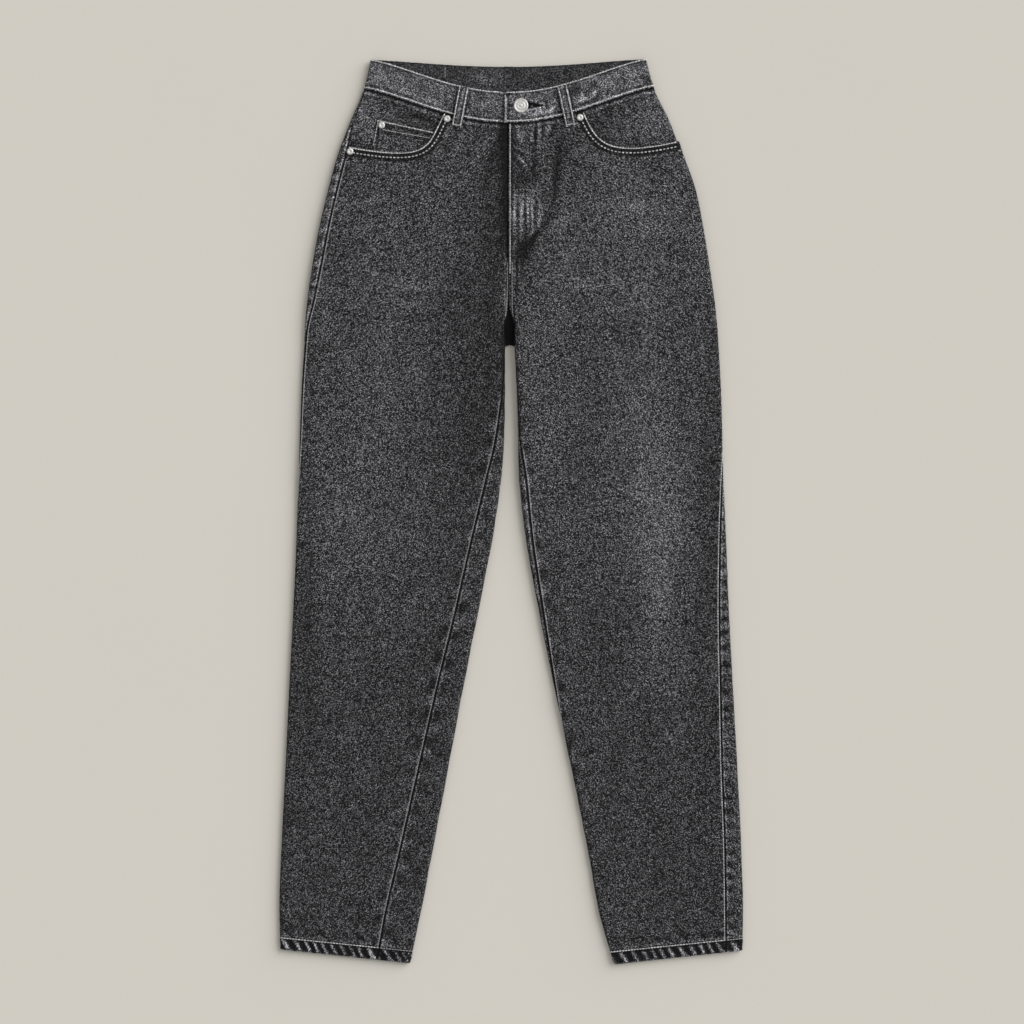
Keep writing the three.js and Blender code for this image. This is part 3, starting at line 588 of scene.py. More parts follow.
def wall(name, outer, inner, tones, uv, finish, slot, near=None, edge_bulge=EDGE_BULGE):
    """A closed wall of cloth between two grids of points. Its rim is one more loop of points, halfway
    through the cloth and pushed out a little, so that the edge is round."""
    rows, columns = outer.shape[:2]
    count = rows * columns
    index = np.arange(count).reshape(rows, columns)
    loop = np.concatenate([index[0, :-1], index[:-1, -1], index[-1, :0:-1], index[:0:-1, 0]])
    r, c = loop // columns, loop % columns
    inward = index[np.clip(r, 1, rows - 2), np.clip(c, 1, columns - 2)]
    flat_outer, flat_inner = outer.reshape(-1, 3), inner.reshape(-1, 3)
    thickness = np.linalg.norm(flat_outer[loop] - flat_inner[loop], axis=1, keepdims=True)
    away = unit(flat_outer[loop] + flat_inner[loop] - flat_outer[inward] - flat_inner[inward])
    rim = (flat_outer[loop] + flat_inner[loop]) / 2 + away * thickness * edge_bulge
    points = np.concatenate([flat_outer, flat_inner, rim])
    rim_index = 2 * count + np.arange(len(loop))

    def strip(a, b):
        return np.stack([a, np.roll(a, -1), np.roll(b, -1), b], axis=-1)

    def flat(values):
        return np.broadcast_to(values, (rows, columns)).reshape(-1)

    faces = [
        grid_faces(index)[:, ::-1],
        grid_faces(index + count),
        strip(loop, rim_index),
        strip(rim_index, loop + count),
    ]
    outer_tone, inner_tone = (flat(tone) for tone in tones)
    tone = np.concatenate([outer_tone, inner_tone, outer_tone[loop] + EDGE_TONE])
    flat_uv = uv.reshape(-1, 2)
    cloth_uv = np.concatenate([flat_uv, flat_uv, flat_uv[loop]])
    edges = {edge: np.concatenate([flat(values), np.zeros(count), flat(values)[loop]])
             for edge, values in (near or {}).items()}
    return mesh_object(name, points, faces, tone, cloth_uv, finish, edges)


def turned(node, profile, sides, spot, z, finish):
    """A turned piece that stands for a CAD node: a profile of radius and height, from the axis out and
    back, carried round."""
    profile = np.array(profile, float)
    ring = profile[1:-1]
    turn = np.linspace(0, 2 * np.pi, sides, endpoint=False)
    x = spot[0] + ring[:, 0, None] * np.cos(turn)
    y = spot[1] + ring[:, 0, None] * np.sin(turn)
    height = z + np.broadcast_to(ring[:, 1, None], x.shape)
    poles = [[*spot, z + profile[0, 1]], [*spot, z + profile[-1, 1]]]
    points = np.concatenate([np.stack([x, y, height], axis=-1).reshape(-1, 3), poles])
    uv = points[:, :2] - np.array(spot)
    faces = capped_faces(len(ring), sides)
    piece = mesh_object(f"{node}_cap", points, faces, np.ones(len(points)), uv, finish)
    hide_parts(node)


def flat_area(points):
    """The area of a grid of points, in square metres."""
    a = points[1:, 1:] - points[:-1, :-1]
    b = points[1:, :-1] - points[:-1, 1:]
    return float(np.linalg.norm(np.cross(a, b), axis=-1).sum() / 2 * MM * MM)


def declare_sheet(points, s):
    """Works out the cut of a piece of cloth: its greatest width and length laid flat, and its area, but
    states nothing.
    """
    width = float((s.max(axis=1) - s.min(axis=1)).max())
    length = float(np.linalg.norm(np.diff(points, axis=0), axis=-1).sum(axis=0).max())
    flat = (round(width * MM, 4), round(length * MM, 4))
    area = min(flat_area(points), flat[0] * flat[1])


def cloth(node, outer, inner, s, tones, uv, finish, slot, rests_on=(), **edges):
    """A wall of cloth that stands for a CAD node, which it hides; its cut is worked out but not declared."""
    piece = wall(f"{node}_cloth", outer, inner, tones, uv, finish, slot, **edges)
    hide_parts(node)
    declare_sheet(outer, s)


# Shader maths

TONE_STRENGTH = 1.9
DENIM_TINT = (1.0, 0.98, 1.045)


class Socket:
    """One output of a node. Arithmetic on it adds Math nodes to its material."""

    def __init__(self, finish, output):
        self.finish = finish
        self.output = output

    def math(self, operation, *values):
        """One Math node."""
        return self.finish.node("ShaderNodeMath", {"operation": operation}, dict(enumerate(values)))

    def __add__(self, other):
        return self.math("ADD", self, other)

    def __radd__(self, other):
        return self.math("ADD", other, self)

    def __sub__(self, other):
        return self.math("SUBTRACT", self, other)

    def __rsub__(self, other):
        return self.math("SUBTRACT", other, self)

    def __mul__(self, other):
        return self.math("MULTIPLY", self, other)

    def __rmul__(self, other):
        return self.math("MULTIPLY", other, self)

    def __rpow__(self, other):
        return self.math("POWER", other, self)

    def sine(self):
        return self.math("SINE", self)

    def limit(self, low=0.0, high=1.0):
        """The number, held between two others."""
        return self.finish.node("ShaderNodeClamp", {}, {"Value": self, "Min": low, "Max": high})


class Finish:
    """A material, built up from nodes."""

    def __init__(self, name):
        self.material = bpy.data.materials.new(name)
        self.material.use_nodes = True
        self.tree = self.material.node_tree
        self.tree.nodes.clear()

    def node(self, kind, settings, sockets, output=0):
        """Adds a node: its type, its settings, and the values or links of its sockets."""
        node = self.tree.nodes.new(kind)
        for name, value in settings.items():
            setattr(node, name, value)
        for name, value in sockets.items():
            if isinstance(value, Socket):
                self.tree.links.new(value.output, node.inputs[name])
            else:
                node.inputs[name].default_value = value
        return Socket(self, node.outputs[output])

    def cloth_place(self, stretch=1.0, turn=0.0):
        """The place on the cloth, in metres, with the pattern stretched along a line at a slant."""
        uv = self.node("ShaderNodeUVMap", {"uv_map": "cloth"}, {})
        return self.node("ShaderNodeMapping", {"vector_type": "TEXTURE"}, {
            "Vector": uv, "Rotation": (0, 0, math.radians(turn)), "Scale": (stretch, 1, 1)})

    def noise(self, vector, size, detail=2.0, roughness=0.5):
        """Noise from 0 to 1 whose lumps are about one size across, in metres."""
        return self.node("ShaderNodeTexNoise", {"noise_dimensions": "2D"}, {
            "Vector": vector, "Scale": 1 / size, "Detail": detail, "Roughness": roughness})

    def specks(self, vector, size):
        """Cells of about one size, in metres, each with its own random value from 0 to 1."""
        cells = self.node("ShaderNodeTexVoronoi", {"voronoi_dimensions": "2D"}, {
            "Vector": vector, "Scale": 1 / size}, output=1)
        return self.node("ShaderNodeSeparateXYZ", {}, {0: cells})

    def shade(self, color, amount):
        """A colour made lighter or darker by a number."""
        grey = self.node("ShaderNodeCombineXYZ", {}, {0: amount, 1: amount, 2: amount})
        return self.node("ShaderNodeVectorMath", {"operation": "MULTIPLY"}, {0: color, 1: grey})

    def blend(self, a, b, factor):
        """From one colour to another."""
        return self.node("ShaderNodeMix", {"data_type": "RGBA"}, {0: factor, 6: a, 7: b}, output=2)

    def tone(self):
        """How light each point is, in doublings of its lightness: on the cloth this carries wear and painted
        shade.
        """
        tone_level = self.node("ShaderNodeAttribute", {"attribute_name": "tone"}, {}, output=2)
        return (tone_level - 1.0) * TONE_STRENGTH

    def line(self, edge, centre, reach, amount):
        """A line beside a sewn edge: the amount at its centre, fading out past its reach."""
        near = self.node("ShaderNodeAttribute", {"attribute_name": edge}, {}, output=2)
        off = (EDGE_REACH - centre - near) * (1 / reach)
        return 2.0 ** (off * off * -1.44) * amount

    def surface(self, sockets):
        """Ends the material with one shader, and returns it."""
        shader = self.node("ShaderNodeBsdfPrincipled", {}, sockets)
        output = self.tree.nodes.new("ShaderNodeOutputMaterial")
        self.tree.links.new(shader.output, output.inputs["Surface"])
        return self.material


# The lines beside the sewn edges: the edge, how far from it, how far each fades, and its tone. The dark lines
# are painted shade in the grooves beside and under the edges; the pale ones are wear.
FRONT_LINES = [
    ("near_waist", 1.0, 1.9, -3.8), ("near_waist", 5.0, 2.2, 1.0), ("near_waist", 8.6, 1.5, -1.0),
    ("near_mouth", 0.4, 1.2, 0.8), ("near_mouth", 3.7, 1.5, -3.0), ("near_mouth", 6.5, 1.8, -2.0),
    ("near_mouth", 9.4, 1.4, -2.4), ("near_fly", 4.0, 1.3, -1.6), ("near_fly", 0.2, 1.0, 0.8),
    ("near_side", 0.0, 1.0, -2.2), ("near_side", 2.0, 1.0, 0.9), ("near_inseam", 0.0, 1.3, -3.0),
    ("near_inseam", 2.4, 1.2, 1.2), ("near_hem", 12.6, 1.5, -3.0), ("near_hem", 16.4, 1.3, 0.9),
]
BAND_LINES = [
    ("near_top", 1.2, 1.3, 1.3), ("near_top", 4.0, 1.3, -0.9), ("near_bottom", 1.2, 1.3, 1.3),
    ("near_bottom", 4.0, 1.3, -0.8), ("near_end", 4.6, 1.4, -1.8), ("near_end", 1.2, 1.2, 0.9),
    ("near_strip", 0.8, 1.1, 1.2), ("near_strip", 2.7, 0.8, -1.6),
]


def denim(name, level, grain, slant, lines):
    """Washed denim. Yarns show as a salt-and-pepper grain of small random cells along the twill, over
    softer slubs and wash clouds. These, the tone of each point and the lines beside the sewn edges add up
    in doublings of lightness, and carry painted shade as well as wear; the grain is evener where the cloth is
    worn pale."""
    finish = Finish(name)
    specks = finish.specks(finish.cloth_place(1.25, slant), 0.00066)
    slubs = finish.noise(finish.cloth_place(2.2, slant), 0.0014, detail=2.0, roughness=0.6)
    cloud = finish.noise(finish.cloth_place(1.6, 90), 0.007, detail=3.0, roughness=0.6)
    tone_shift = finish.tone() + (cloud - 0.5) * 1.3
    for line in lines:
        tone_shift = tone_shift + finish.line(*line)
    pale = (tone_shift * 0.45).limit()
    doublings = (specks - 0.5) * (grain - pale * grain * 0.5) + pale * 1.2 + (slubs - 0.5) * 0.6 + tone_shift
    amount = (level * 2.0 ** doublings).limit(0.0012, 0.8)
    color = finish.shade(DENIM_TINT, amount)
    weave = specks * 0.5 + slubs * 0.9
    normal = finish.node("ShaderNodeBump", {}, {"Strength": 0.35, "Distance": 0.0004, "Height": weave})
    return finish.surface({
        "Base Color": color, "Roughness": 0.86 + specks * 0.1, "Normal": normal,
        "Specular IOR Level": 0.2, "Sheen Weight": 0.02, "Sheen Roughness": 0.6})


def thread():
    """Light grey cotton thread, with a twist along it and a little grime."""
    finish = Finish("thread")
    place_on = finish.cloth_place()
    twist = finish.noise(place_on, 0.0007, detail=2.0)
    tone_shift = finish.noise(place_on, 0.008, detail=1.0)
    lightness = ((twist - 0.5) * 1.2 + tone_shift).limit()
    color = finish.blend((0.34, 0.34, 0.345, 1), (0.66, 0.66, 0.65, 1), lightness)
    color = finish.shade(color, (2.0 ** finish.tone()).limit(0.1, 2.0))
    normal = finish.node("ShaderNodeBump", {}, {"Strength": 0.4, "Distance": 0.0002, "Height": twist})
    return finish.surface({"Base Color": color, "Roughness": 0.8, "Normal": normal})


def metal(name):
    """Worn silver-coloured metal, with fine turned rings and soft dull patches."""
    finish = Finish(name)
    place_on = finish.cloth_place()
    radius = finish.node("ShaderNodeVectorMath", {"operation": "LENGTH"}, {0: place_on}, output=1)
    rings = (radius * 5200.0).sine() * 0.5 + 0.5
    dull = finish.noise(place_on, 0.003, detail=3.0)
    color = finish.blend((0.40, 0.395, 0.385, 1), (0.84, 0.83, 0.81, 1), (rings * 0.3 + dull * 0.9).limit())
    normal = finish.node("ShaderNodeBump", {}, {
        "Strength": 0.35, "Distance": 0.0002, "Height": rings * 0.5 + dull * 0.5})
    return finish.surface({
        "Base Color": color, "Metallic": 0.7, "Roughness": 0.4 + dull * 0.3, "Normal": normal})


DENIM = denim("denim", 0.0127, 10.0, -40, FRONT_LINES)
BAND_DENIM = denim("denim_band", 0.0445, 7.0, 0, BAND_LINES)
INNER_DENIM = denim("denim_inner", 0.0175, 9.0, -40, FRONT_LINES[:3])
THREAD = thread()
BUTTON_METAL = metal("button_metal")
RIVET_METAL = metal("rivet_metal")


# How seams, hems and edges shape the cloth. Each returns a height and a tone.

def seam_edge(distance, along, seed, puckers=0.4, spacing=11.0, pale=0.45, reach=4.5):
    """Beside a seam: a narrow valley painted black as shade, a pale worn edge, and puckers that die out into
    the cloth, with painted shade darkening the hollows between crests worn pale."""
    wave = roping(along, spacing, seed)
    fine = roping(along, spacing * 0.37, seed + 1)
    body = bell(distance - reach, reach)
    height = -0.55 * bell(distance, 1.1) + 0.22 * body + puckers * 0.45 * wave * body
    tone = -0.9 * bell(distance, 0.9) + pale * bell(distance - 2.0, 1.1) * (0.7 + 0.3 * fine)
    crests = np.clip(wave, 0, 1)
    hollows = np.clip(-wave - 0.15, 0, 1) / 0.85
    hollows *= 0.55 + 0.45 * drift(along / (1.6 * spacing), 3.5, seed + 2)
    tone += puckers * (0.8 * crests - 3.0 * hollows) * bell(distance - reach * 0.8, reach * 0.8)
    return height, tone


def hem_edge(above, along, seed):
    """The turned-up hem: twisted ridges in the doubled cloth, worn pale on their crests, with the hollows
    between them painted black as shade, a stitched groove at its top, and puckers over that with painted
    shade in their dents."""
    slant = along + 0.55 * above + 1.6 * np.sin(along / 9.0)
    wave = roping(slant, HEM_TWIST, seed)
    inside = ease(above / 1.5) * ease((HEM_STITCH + 0.2 - above) / 1.5)
    over = np.clip(roping(along + 0.9 * above, 17.0, seed + 2), 0, 1)
    pale = np.clip(roping(along + 1.3 * above, 8.3, seed + 4), 0, 1)
    height = 0.6 * wave * inside + 0.3 * ease((HEM_HEIGHT - above) / 1.5)
    height -= 0.5 * bell(above - HEM_STITCH, 0.9) + 0.3 * over * bell(above - 20.5, 4.0)
    tone = inside * mix(-1.9, 1.7, ease((wave + 0.45) / 1.2)) + 0.5 * bell(above, 1.2)
    tone += 0.4 * bell(above - 16.6, 1.4) * roping(along, 5.0, seed + 3)
    tone += 1.1 * pale ** 2 * bell(above - 20.0, 3.5) - 1.3 * over * bell(above - 21.5, 3.8)
    return height, tone


def mouth_edge(distance, along, seed):
    """Below a pocket mouth: the turned-in edge that carries two rows of stitches, with a groove along it
    and puckers under it."""
    doubled = ease((8.2 - distance) / 1.2)
    wide = roping(along + 0.8 * distance, 9.5, seed + 1)
    fine = roping(along - 0.6 * distance, 5.1, seed + 2)
    height = 0.5 * doubled - 0.25 * bell(distance - 3.4, 0.9) + 0.3 * wide * bell(distance - 12, 5)
    tone = 1.1 * np.clip(wide, 0, 1) ** 2 * bell(distance - 12, 3.2) + 0.6 * fine * bell(distance - 14, 5)
    return height, tone


def waist_edge(distance, along, seed):
    """Below the waistband: a groove in its shadow, fine gathers just under it, and soft wide gathers
    that fade out within a few centimetres."""
    wave = roping(along, 9.0, seed)
    wide = roping(along - 0.3 * distance, 15.0, seed + 1)
    fine = roping(along, 4.3, seed + 2)
    height = 0.3 * wave * bell(distance - 3, 6) - 0.5 * bell(distance - 0.8, 1.1)
    tone = 0.4 * fine * bell(distance - 4.8, 2.2) + 0.42 * np.clip(wide, -0.4, 1) * bell(distance - 9, 7)
    return height, tone


# The panels

HALF_GAP = SEAM_GAP / 2


def crowded(count, spots):
    """Shares from 0 to 1 that come closer together near some spots: for each its place, its reach, and
    how many times closer."""
    t = np.linspace(0, 1, 2001)
    density = 1 + sum(extra * bell(t - spot, reach) for spot, reach, extra in spots)
    total = np.concatenate([[0], np.cumsum((density[1:] + density[:-1]) / 2)])
    return np.interp(np.linspace(0, total[-1], count), total, t)


def front_start(row):
    """Where a front begins, half a gap from the side seam."""
    return row["out_seam"] + HALF_GAP


def front_end(half, row):
    """Where a front ends: at the inseam, or at the fly, past it by the lap."""
    return row["length"] - row["in_seam"] - HALF_GAP + half.lap * ease(1 - row["crotch"] * 4)


def front_inner(row, s):
    """How far a place on a front lies from the fly or the inseam."""
    return row["length"] - row["in_seam"] - s


def lap_sink(half, row, s):
    """How far the lapped front edge dips, to pass under the other front."""
    if half.lap == 0:
        return np.zeros_like(s)
    fade = 1 - ease((row["crotch"] - 0.3) / 0.5)
    return FLY_SINK * fade * ease((s - row["length"] + LAP_RUN) / (LAP_RUN - 1))


def above_hem(half, v):
    """The distance up from the hem's edge."""
    return at(half.rows["out_y"], v) - half.rows["out_y"][-1]


def back_start(row):
    """Where a back begins, half a gap from the side seam."""
    return row["out_seam"] - HALF_GAP


def back_inner(row, s):
    """How far a place on a back lies from the centre seam or the inseam."""
    return s + row["length"] + np.where(row["crotch"] < 1, 0, row["in_seam"])


def back_end(row):
    """Where a back ends: at the inseam or at the centre seam."""
    return HALF_GAP - back_inner(row, 0)


def wash(x, y, seed):
    """Uneven washing: soft clouds a few centimetres across, stretched along the leg, and darker legs
    from the knees down."""
    clouds = 0.10 * drift(x / 24, y / 60, seed) + 0.07 * drift(x / 9, y / 24, seed + 1)
    return clouds + 0.05 * drift(x / 3.5, y / 14, seed + 2) - 0.24 * ease((40 - y) / 260)


def fork_recess(x, y):
    """Where the two fronts meet above the crotch: their centre seam lies in a recess that gets deeper
    towards the fork, with painted shade that gets darker there."""
    across = ease((x + 8.8) / 2.4) * ease((4.9 - x) / 2.4)
    depth = 1.7 * ease((294 - y) / 26) + 1.6 * ease((245 - y) / 30)
    shade = 0.35 * ease((294 - y) / 20) + 1.6 * ease((236 - y) / 26)
    return -depth * across, -shade * across


def inner_shadow(half, x, y):
    """Painted shade: the strip of the right leg in the fork's shadow, the shadow wedge beside the fly where
    the lapped edge stands over the other front, and a broad soft shade towards the fly.
    """
    if half is LEFT:
        return np.zeros_like(x)
    strip = ease((x + 12.6) / 1.6) * ease((y - 70) / 50) * ease((222 - y) / 14)
    reach = 7.5 + 8.0 * ease((y - 300) / 150)
    wedge = ease((x + 3.5 + reach) / reach) * ease((y - 285) / 30)
    broad = 0.35 * bell(x + 12, 17) * ease((y - 275) / 60)
    return 1.3 * strip + 1.7 * wedge + broad


def front_form(half, v, s):
    """The height and tone of a front panel at a row and a distance round."""
    seed = half.front_seed
    row = section(half, v)
    x, y = plan(half, v, s)
    height, tone = marks(FRONT_MARKS, x, y)
    height *= ease(s / 6.0)
    from_inner = front_inner(row, s)
    below_crotch = ease((v - 7.6) / 1.2)
    sewn = mix(0.35, 1.0, ease(v - half.inseam_row + 0.5))
    fly = (1 - below_crotch) * (s < row["length"] + 1)
    in_hem = v > HEM_TWIST_ROW
    inseam = seam_edge(from_inner, -y, seed + 5, puckers=0.6, spacing=31.0, pale=0.75, reach=7.0)
    parts = [
        (seam_edge(s - row["out_seam"], -y, seed, puckers=0.4 if half is RIGHT else 0.6), 1, 1),
        (inseam, below_crotch, below_crotch * sewn),
        (hem_edge(above_hem(half, v), x, seed + 8), in_hem, in_hem),
        (mouth_edge(*mouth_distance(half, x, y), seed + 12), 1, 1),
        (waist_edge(waist_height(half, x) - y, x, seed + 16), 1, 1),
        (fork_recess(x, y), 1, 1),
    ]
    for (rise, paler), rise_share, tone_share in parts:
        height += rise * rise_share
        tone += paler * tone_share
    height -= 0.35 * fly * bell(from_inner, 1.2)
    tone += 1 + 0.35 * fly * bell(from_inner - 1.4, 1.0) - inner_shadow(half, x, y) + wash(x, y, seed + 20)
    return height, tone


def front_near(half, v, s):
    """How near each sewn edge of a front is. The fly's edge is the left front's, above the fork."""
    row = section(half, v)
    x, y = plan(half, v, s)
    from_inner = front_inner(row, s)
    on_fly = (y > 300) & (half is LEFT)
    return {
        "near_waist": nearness(waist_height(half, x) - y),
        "near_mouth": nearness(mouth_distance(half, x, y)[0]),
        "near_fly": nearness(np.where(on_fly, from_inner, EDGE_REACH)),
        "near_side": nearness(s - row["out_seam"]),
        "near_inseam": nearness(np.where(v > half.inseam_row, from_inner, EDGE_REACH)),
        "near_hem": nearness(above_hem(half, v)),
    }


def cloth_uv(half, v, s):
    """The place on the cloth: across by the distance round the leg, and up the leg by the height. The
    two halves lie apart on it, so that their grains differ, and their twills mirror."""
    across = 240 - s - (900 if half is RIGHT else 0)
    return np.stack([across, plan(half, v, s)[1]], axis=-1)


def panel_rows(count):
    """Rows of a panel, close together at the waist and at the hem."""
    share = crowded(count, [(0, 0.05, 0.8), (1, 0.03, 1.6)])
    return mix(PANEL_TOP, LAST_ROW, share)


def thickness_at(v):
    """The thickness of the cloth: more in the turned-up hem."""
    return np.where(v >= HEM_ROW, HEM_CLOTH, CLOTH)


def hem_scallop(half, points, v, along):
    """Lets the hem's lower edge follow its ridges a little."""
    ridges = roping(along, HEM_TWIST, half.front_seed + 8)
    points[..., 1] += 0.35 * ridges * ease(1 - above_hem(half, v) / 5.0)
    return points


def front_panel(half):
    """A front: rows from the waist seam and the pocket mouth to the hem, columns from the side seam to
    the fly and the inseam."""
    columns = crowded(FRONT_GRID[1], [(0, 0.05, 2.6), (1, 0.13, 1.6)])
    planned = panel_rows(FRONT_GRID[0])[:, None]

    def across(v):
        row = section(half, v)
        return mix(front_start(row), front_end(half, row), columns)

    def over_mouth(v):
        x, y = plan(half, v, across(v))
        return y - mouth_height(half, x)

    top = find_rows(np.full(columns.shape, PANEL_TOP), np.full(columns.shape, 4.0), over_mouth)
    v = planned + (top - PANEL_TOP) * np.clip((5 - planned) / (5 - PANEL_TOP), 0, 1)
    s = across(v)
    height, tone = front_form(half, v, s)
    sink = lap_sink(half, section(half, v), s)
    outer = hem_scallop(half, place(half, v, s, height - sink), v, plan(half, v, s)[0])
    inner = place(half, v, s, height * 0.5 - sink - thickness_at(v))
    inner = hem_scallop(half, inner, v, outer[..., 0])
    cloth(f"front_{half.side}", outer, inner, s, (tone, INNER_TONE), cloth_uv(half, v, s), DENIM, "denim",
          [f"back_{half.side}"], near=front_near(half, v, s))


def back_form(half, v, s):
    """The height and tone of a back panel or yoke. Where it shows beside the side seam it ropes, and
    beside the inseam it puckers. Its underside is flat."""
    seed = half.back_seed
    row = section(half, v)
    spot = place(half, v, s)
    x, y = spot[..., 0], spot[..., 1]
    uneven = -y + 9.0 * drift(y / 37, 0.5, seed + 9)
    puckers = 0.45 if half is RIGHT else 1.0
    side = seam_edge(row["out_seam"] - s, uneven, seed, puckers, spacing=15.5, pale=0.8, reach=7.0)
    inseam = seam_edge(back_inner(row, s), -y + 14, seed + 5, puckers=0.65, spacing=29.0, pale=0.5, reach=8.0)
    hem = hem_edge(above_hem(half, v), x, seed + 8)
    in_hem = v > HEM_TWIST_ROW
    down = ease((0.3 - spot[..., 2] + row["lift"]) / 0.3)
    height = (side[0] + inseam[0] + hem[0] * in_hem) * (1 - down)
    # Painted shade where the fork shadows the right leg
    inner_painted_shade = inner_shadow(half, x, np.minimum(y, 250)) * (y < 240)
    tone = 0.96 + side[1] + inseam[1] + hem[1] * in_hem + wash(x, y, seed + 20) - inner_painted_shade
    return height, tone + 0.25 * ease(s / 6)


def back_cloth(node, half, v, columns, thickness, inner_tone=INNER_TONE, **edges):
    """A piece of a back at its rows, from the side seam round the fold and under the leg."""
    row = section(half, v)
    s = mix(back_start(row), back_end(row), columns)
    height, tone = back_form(half, v, s)
    outer = place(half, v, s, height)
    inner = place(half, v, s, height * 0.5 - thickness)
    near = {edge: find(row, s) for edge, find in edges.items()}
    cloth(node, outer, inner, s, (tone, inner_tone), cloth_uv(half, v, s), DENIM, "denim", near=near)


def back_panel(half):
    """A back: below the yoke, from the side seam round the leg to the inseam."""
    columns = crowded(BACK_GRID[1], [(0, 0.05, 4.0), (1, 0.05, 4.0)])
    planned = panel_rows(BACK_GRID[0])[:, None]
    shift = mix(YOKE_OUTER_ROW, YOKE_INNER_ROW, columns) + YOKE_HALF_GAP - PANEL_TOP
    v = planned + shift * np.clip((7 - planned) / (7 - PANEL_TOP), 0, 1)
    back_cloth(f"back_{half.side}", half, v, columns, thickness_at(v),
               near_side=lambda row, s: nearness(row["out_seam"] - s),
               near_inseam=lambda row, s: nearness(back_inner(row, s)),
               near_hem=lambda row, s: nearness(above_hem(half, v)))


def yoke(half):
    """A yoke: the back's top strip, between the waist seam and a slanting seam."""
    columns = crowded(YOKE_GRID[1], [(0, 0.05, 4.0)])
    share = np.linspace(0, 1, YOKE_GRID[0])[:, None]
    v = mix(PANEL_TOP, mix(YOKE_OUTER_ROW, YOKE_INNER_ROW, columns) - YOKE_HALF_GAP, share)
    back_cloth(f"yoke_{half.side}", half, v, columns, CLOTH, inner_tone=0.75)


def facing_depth(half, v, s):
    """How deep a pocket facing lies: full depth under the front, nearly level where it is sewn in."""
    x, y = plan(half, v, s)
    from_seams = np.minimum(waist_height(half, x) - y, s - section(half, v)["out_seam"]) / FACING_EASE
    from_mouth = (y - mouth_height(half, x)) / FACING_EASE
    full = half.facing_depth + FACING_FOLD_ROOM * bell(s, FOLD_REACH)
    return mix(0.1, full, np.maximum(ease(from_seams), 1 - ease(from_mouth - 0.15)))


# Marks of the pocket facings, as for the fronts: a pale gathered strip under the band with a painted shadow
# under it, pale wash, and painted shade beside the left mouth's inner end
FACING_MARKS = table(MARK, [
    [-106, 463, -24, 22, 4, 0, 0.6],
    [-101, 456, -19, 20, 3, 0, -1.1],
    [150, 446, 10, 40, 16, 0, 0.15],
    [-160, 436, 60, 26, 12, 0, 0.2],
    [96, 440, 60, 22, 8, 0, -0.3],
])


def pocket_facing(half):
    """The piece that shows inside a pocket mouth."""
    columns = crowded(FACING_GRID[1], [(0, 0.08, 2.0)])
    past = half.mouth[0, 0] - np.sign(half.mouth[0, 0]) * MOUTH_PAST

    def across(v):
        return mix(front_start(section(half, v)), around_at(half, v, past), columns)

    def over_foot(v):
        x, y = plan(half, v, across(v))
        return y - mouth_height(half, x) + MOUTH_UNDER

    foot = find_rows(np.full(columns.shape, PANEL_TOP), np.full(columns.shape, 5.0), over_foot)
    v = mix(PANEL_TOP, foot, np.linspace(0, 1, FACING_GRID[0])[:, None])
    s = across(v)
    depth = facing_depth(half, v, s)
    x, y = plan(half, v, s)
    seed = half.facing_seed
    below_waist = waist_height(half, x) - y
    over = y - mouth_height(half, x)
    height, gathers = waist_edge(below_waist, x, seed)
    height = np.clip(height, -0.5, 0.05) * (depth > 0.4)
    tone = 1 + 0.8 * gathers + seam_edge(s - section(half, v)["out_seam"], -y, seed + 3, 0.4, 12, 0.3)[1]
    # Painted shade just inside the mouth's edge and across the middle of the facing below the band, lighter
    # towards the outer side
    tone -= 0.25 * bell(over - 1.0, 6.0) + 0.3 * bell(np.abs(x) - 100, 34) * ease((below_waist - 6) / 6)
    tone += 0.22 * ease((np.abs(x) - 120) / 50) * ease((over - 4) / 20)
    tone += wash(x, y, seed + 7) + marks(FACING_MARKS, x, y)[1]
    outer = place(half, v, s, height - depth)
    inner = place(half, v, s, height - depth - FACING_CLOTH)
    cloth(f"pocket_facing_{half.side}", outer, inner, s, (tone, INNER_TONE), cloth_uv(half, v, s),
          INNER_DENIM, "denim_inner", [f"front_{half.side}"], near={"near_waist": nearness(below_waist)})


def laid_grid(corners, grid):
    """A four-sided grid in plan, with its rows and distances round on the front, and the shares across
    and down it."""
    top_start, top_end, bottom_end, bottom_start = (np.array(corner, float) for corner in corners)
    down = np.linspace(0, 1, grid[0])[:, None, None]
    across = np.linspace(0, 1, grid[1])[None, :, None]
    spots = mix(mix(top_start, top_end, across), mix(bottom_start, bottom_end, across), down)
    half = RIGHT if np.mean(spots[..., 0]) < RIGHT_ROWS["in_x"][1] else LEFT
    v, s = locate(half, spots[..., 0], spots[..., 1])
    return half, spots, v, s, across[..., 0], down[..., 0]


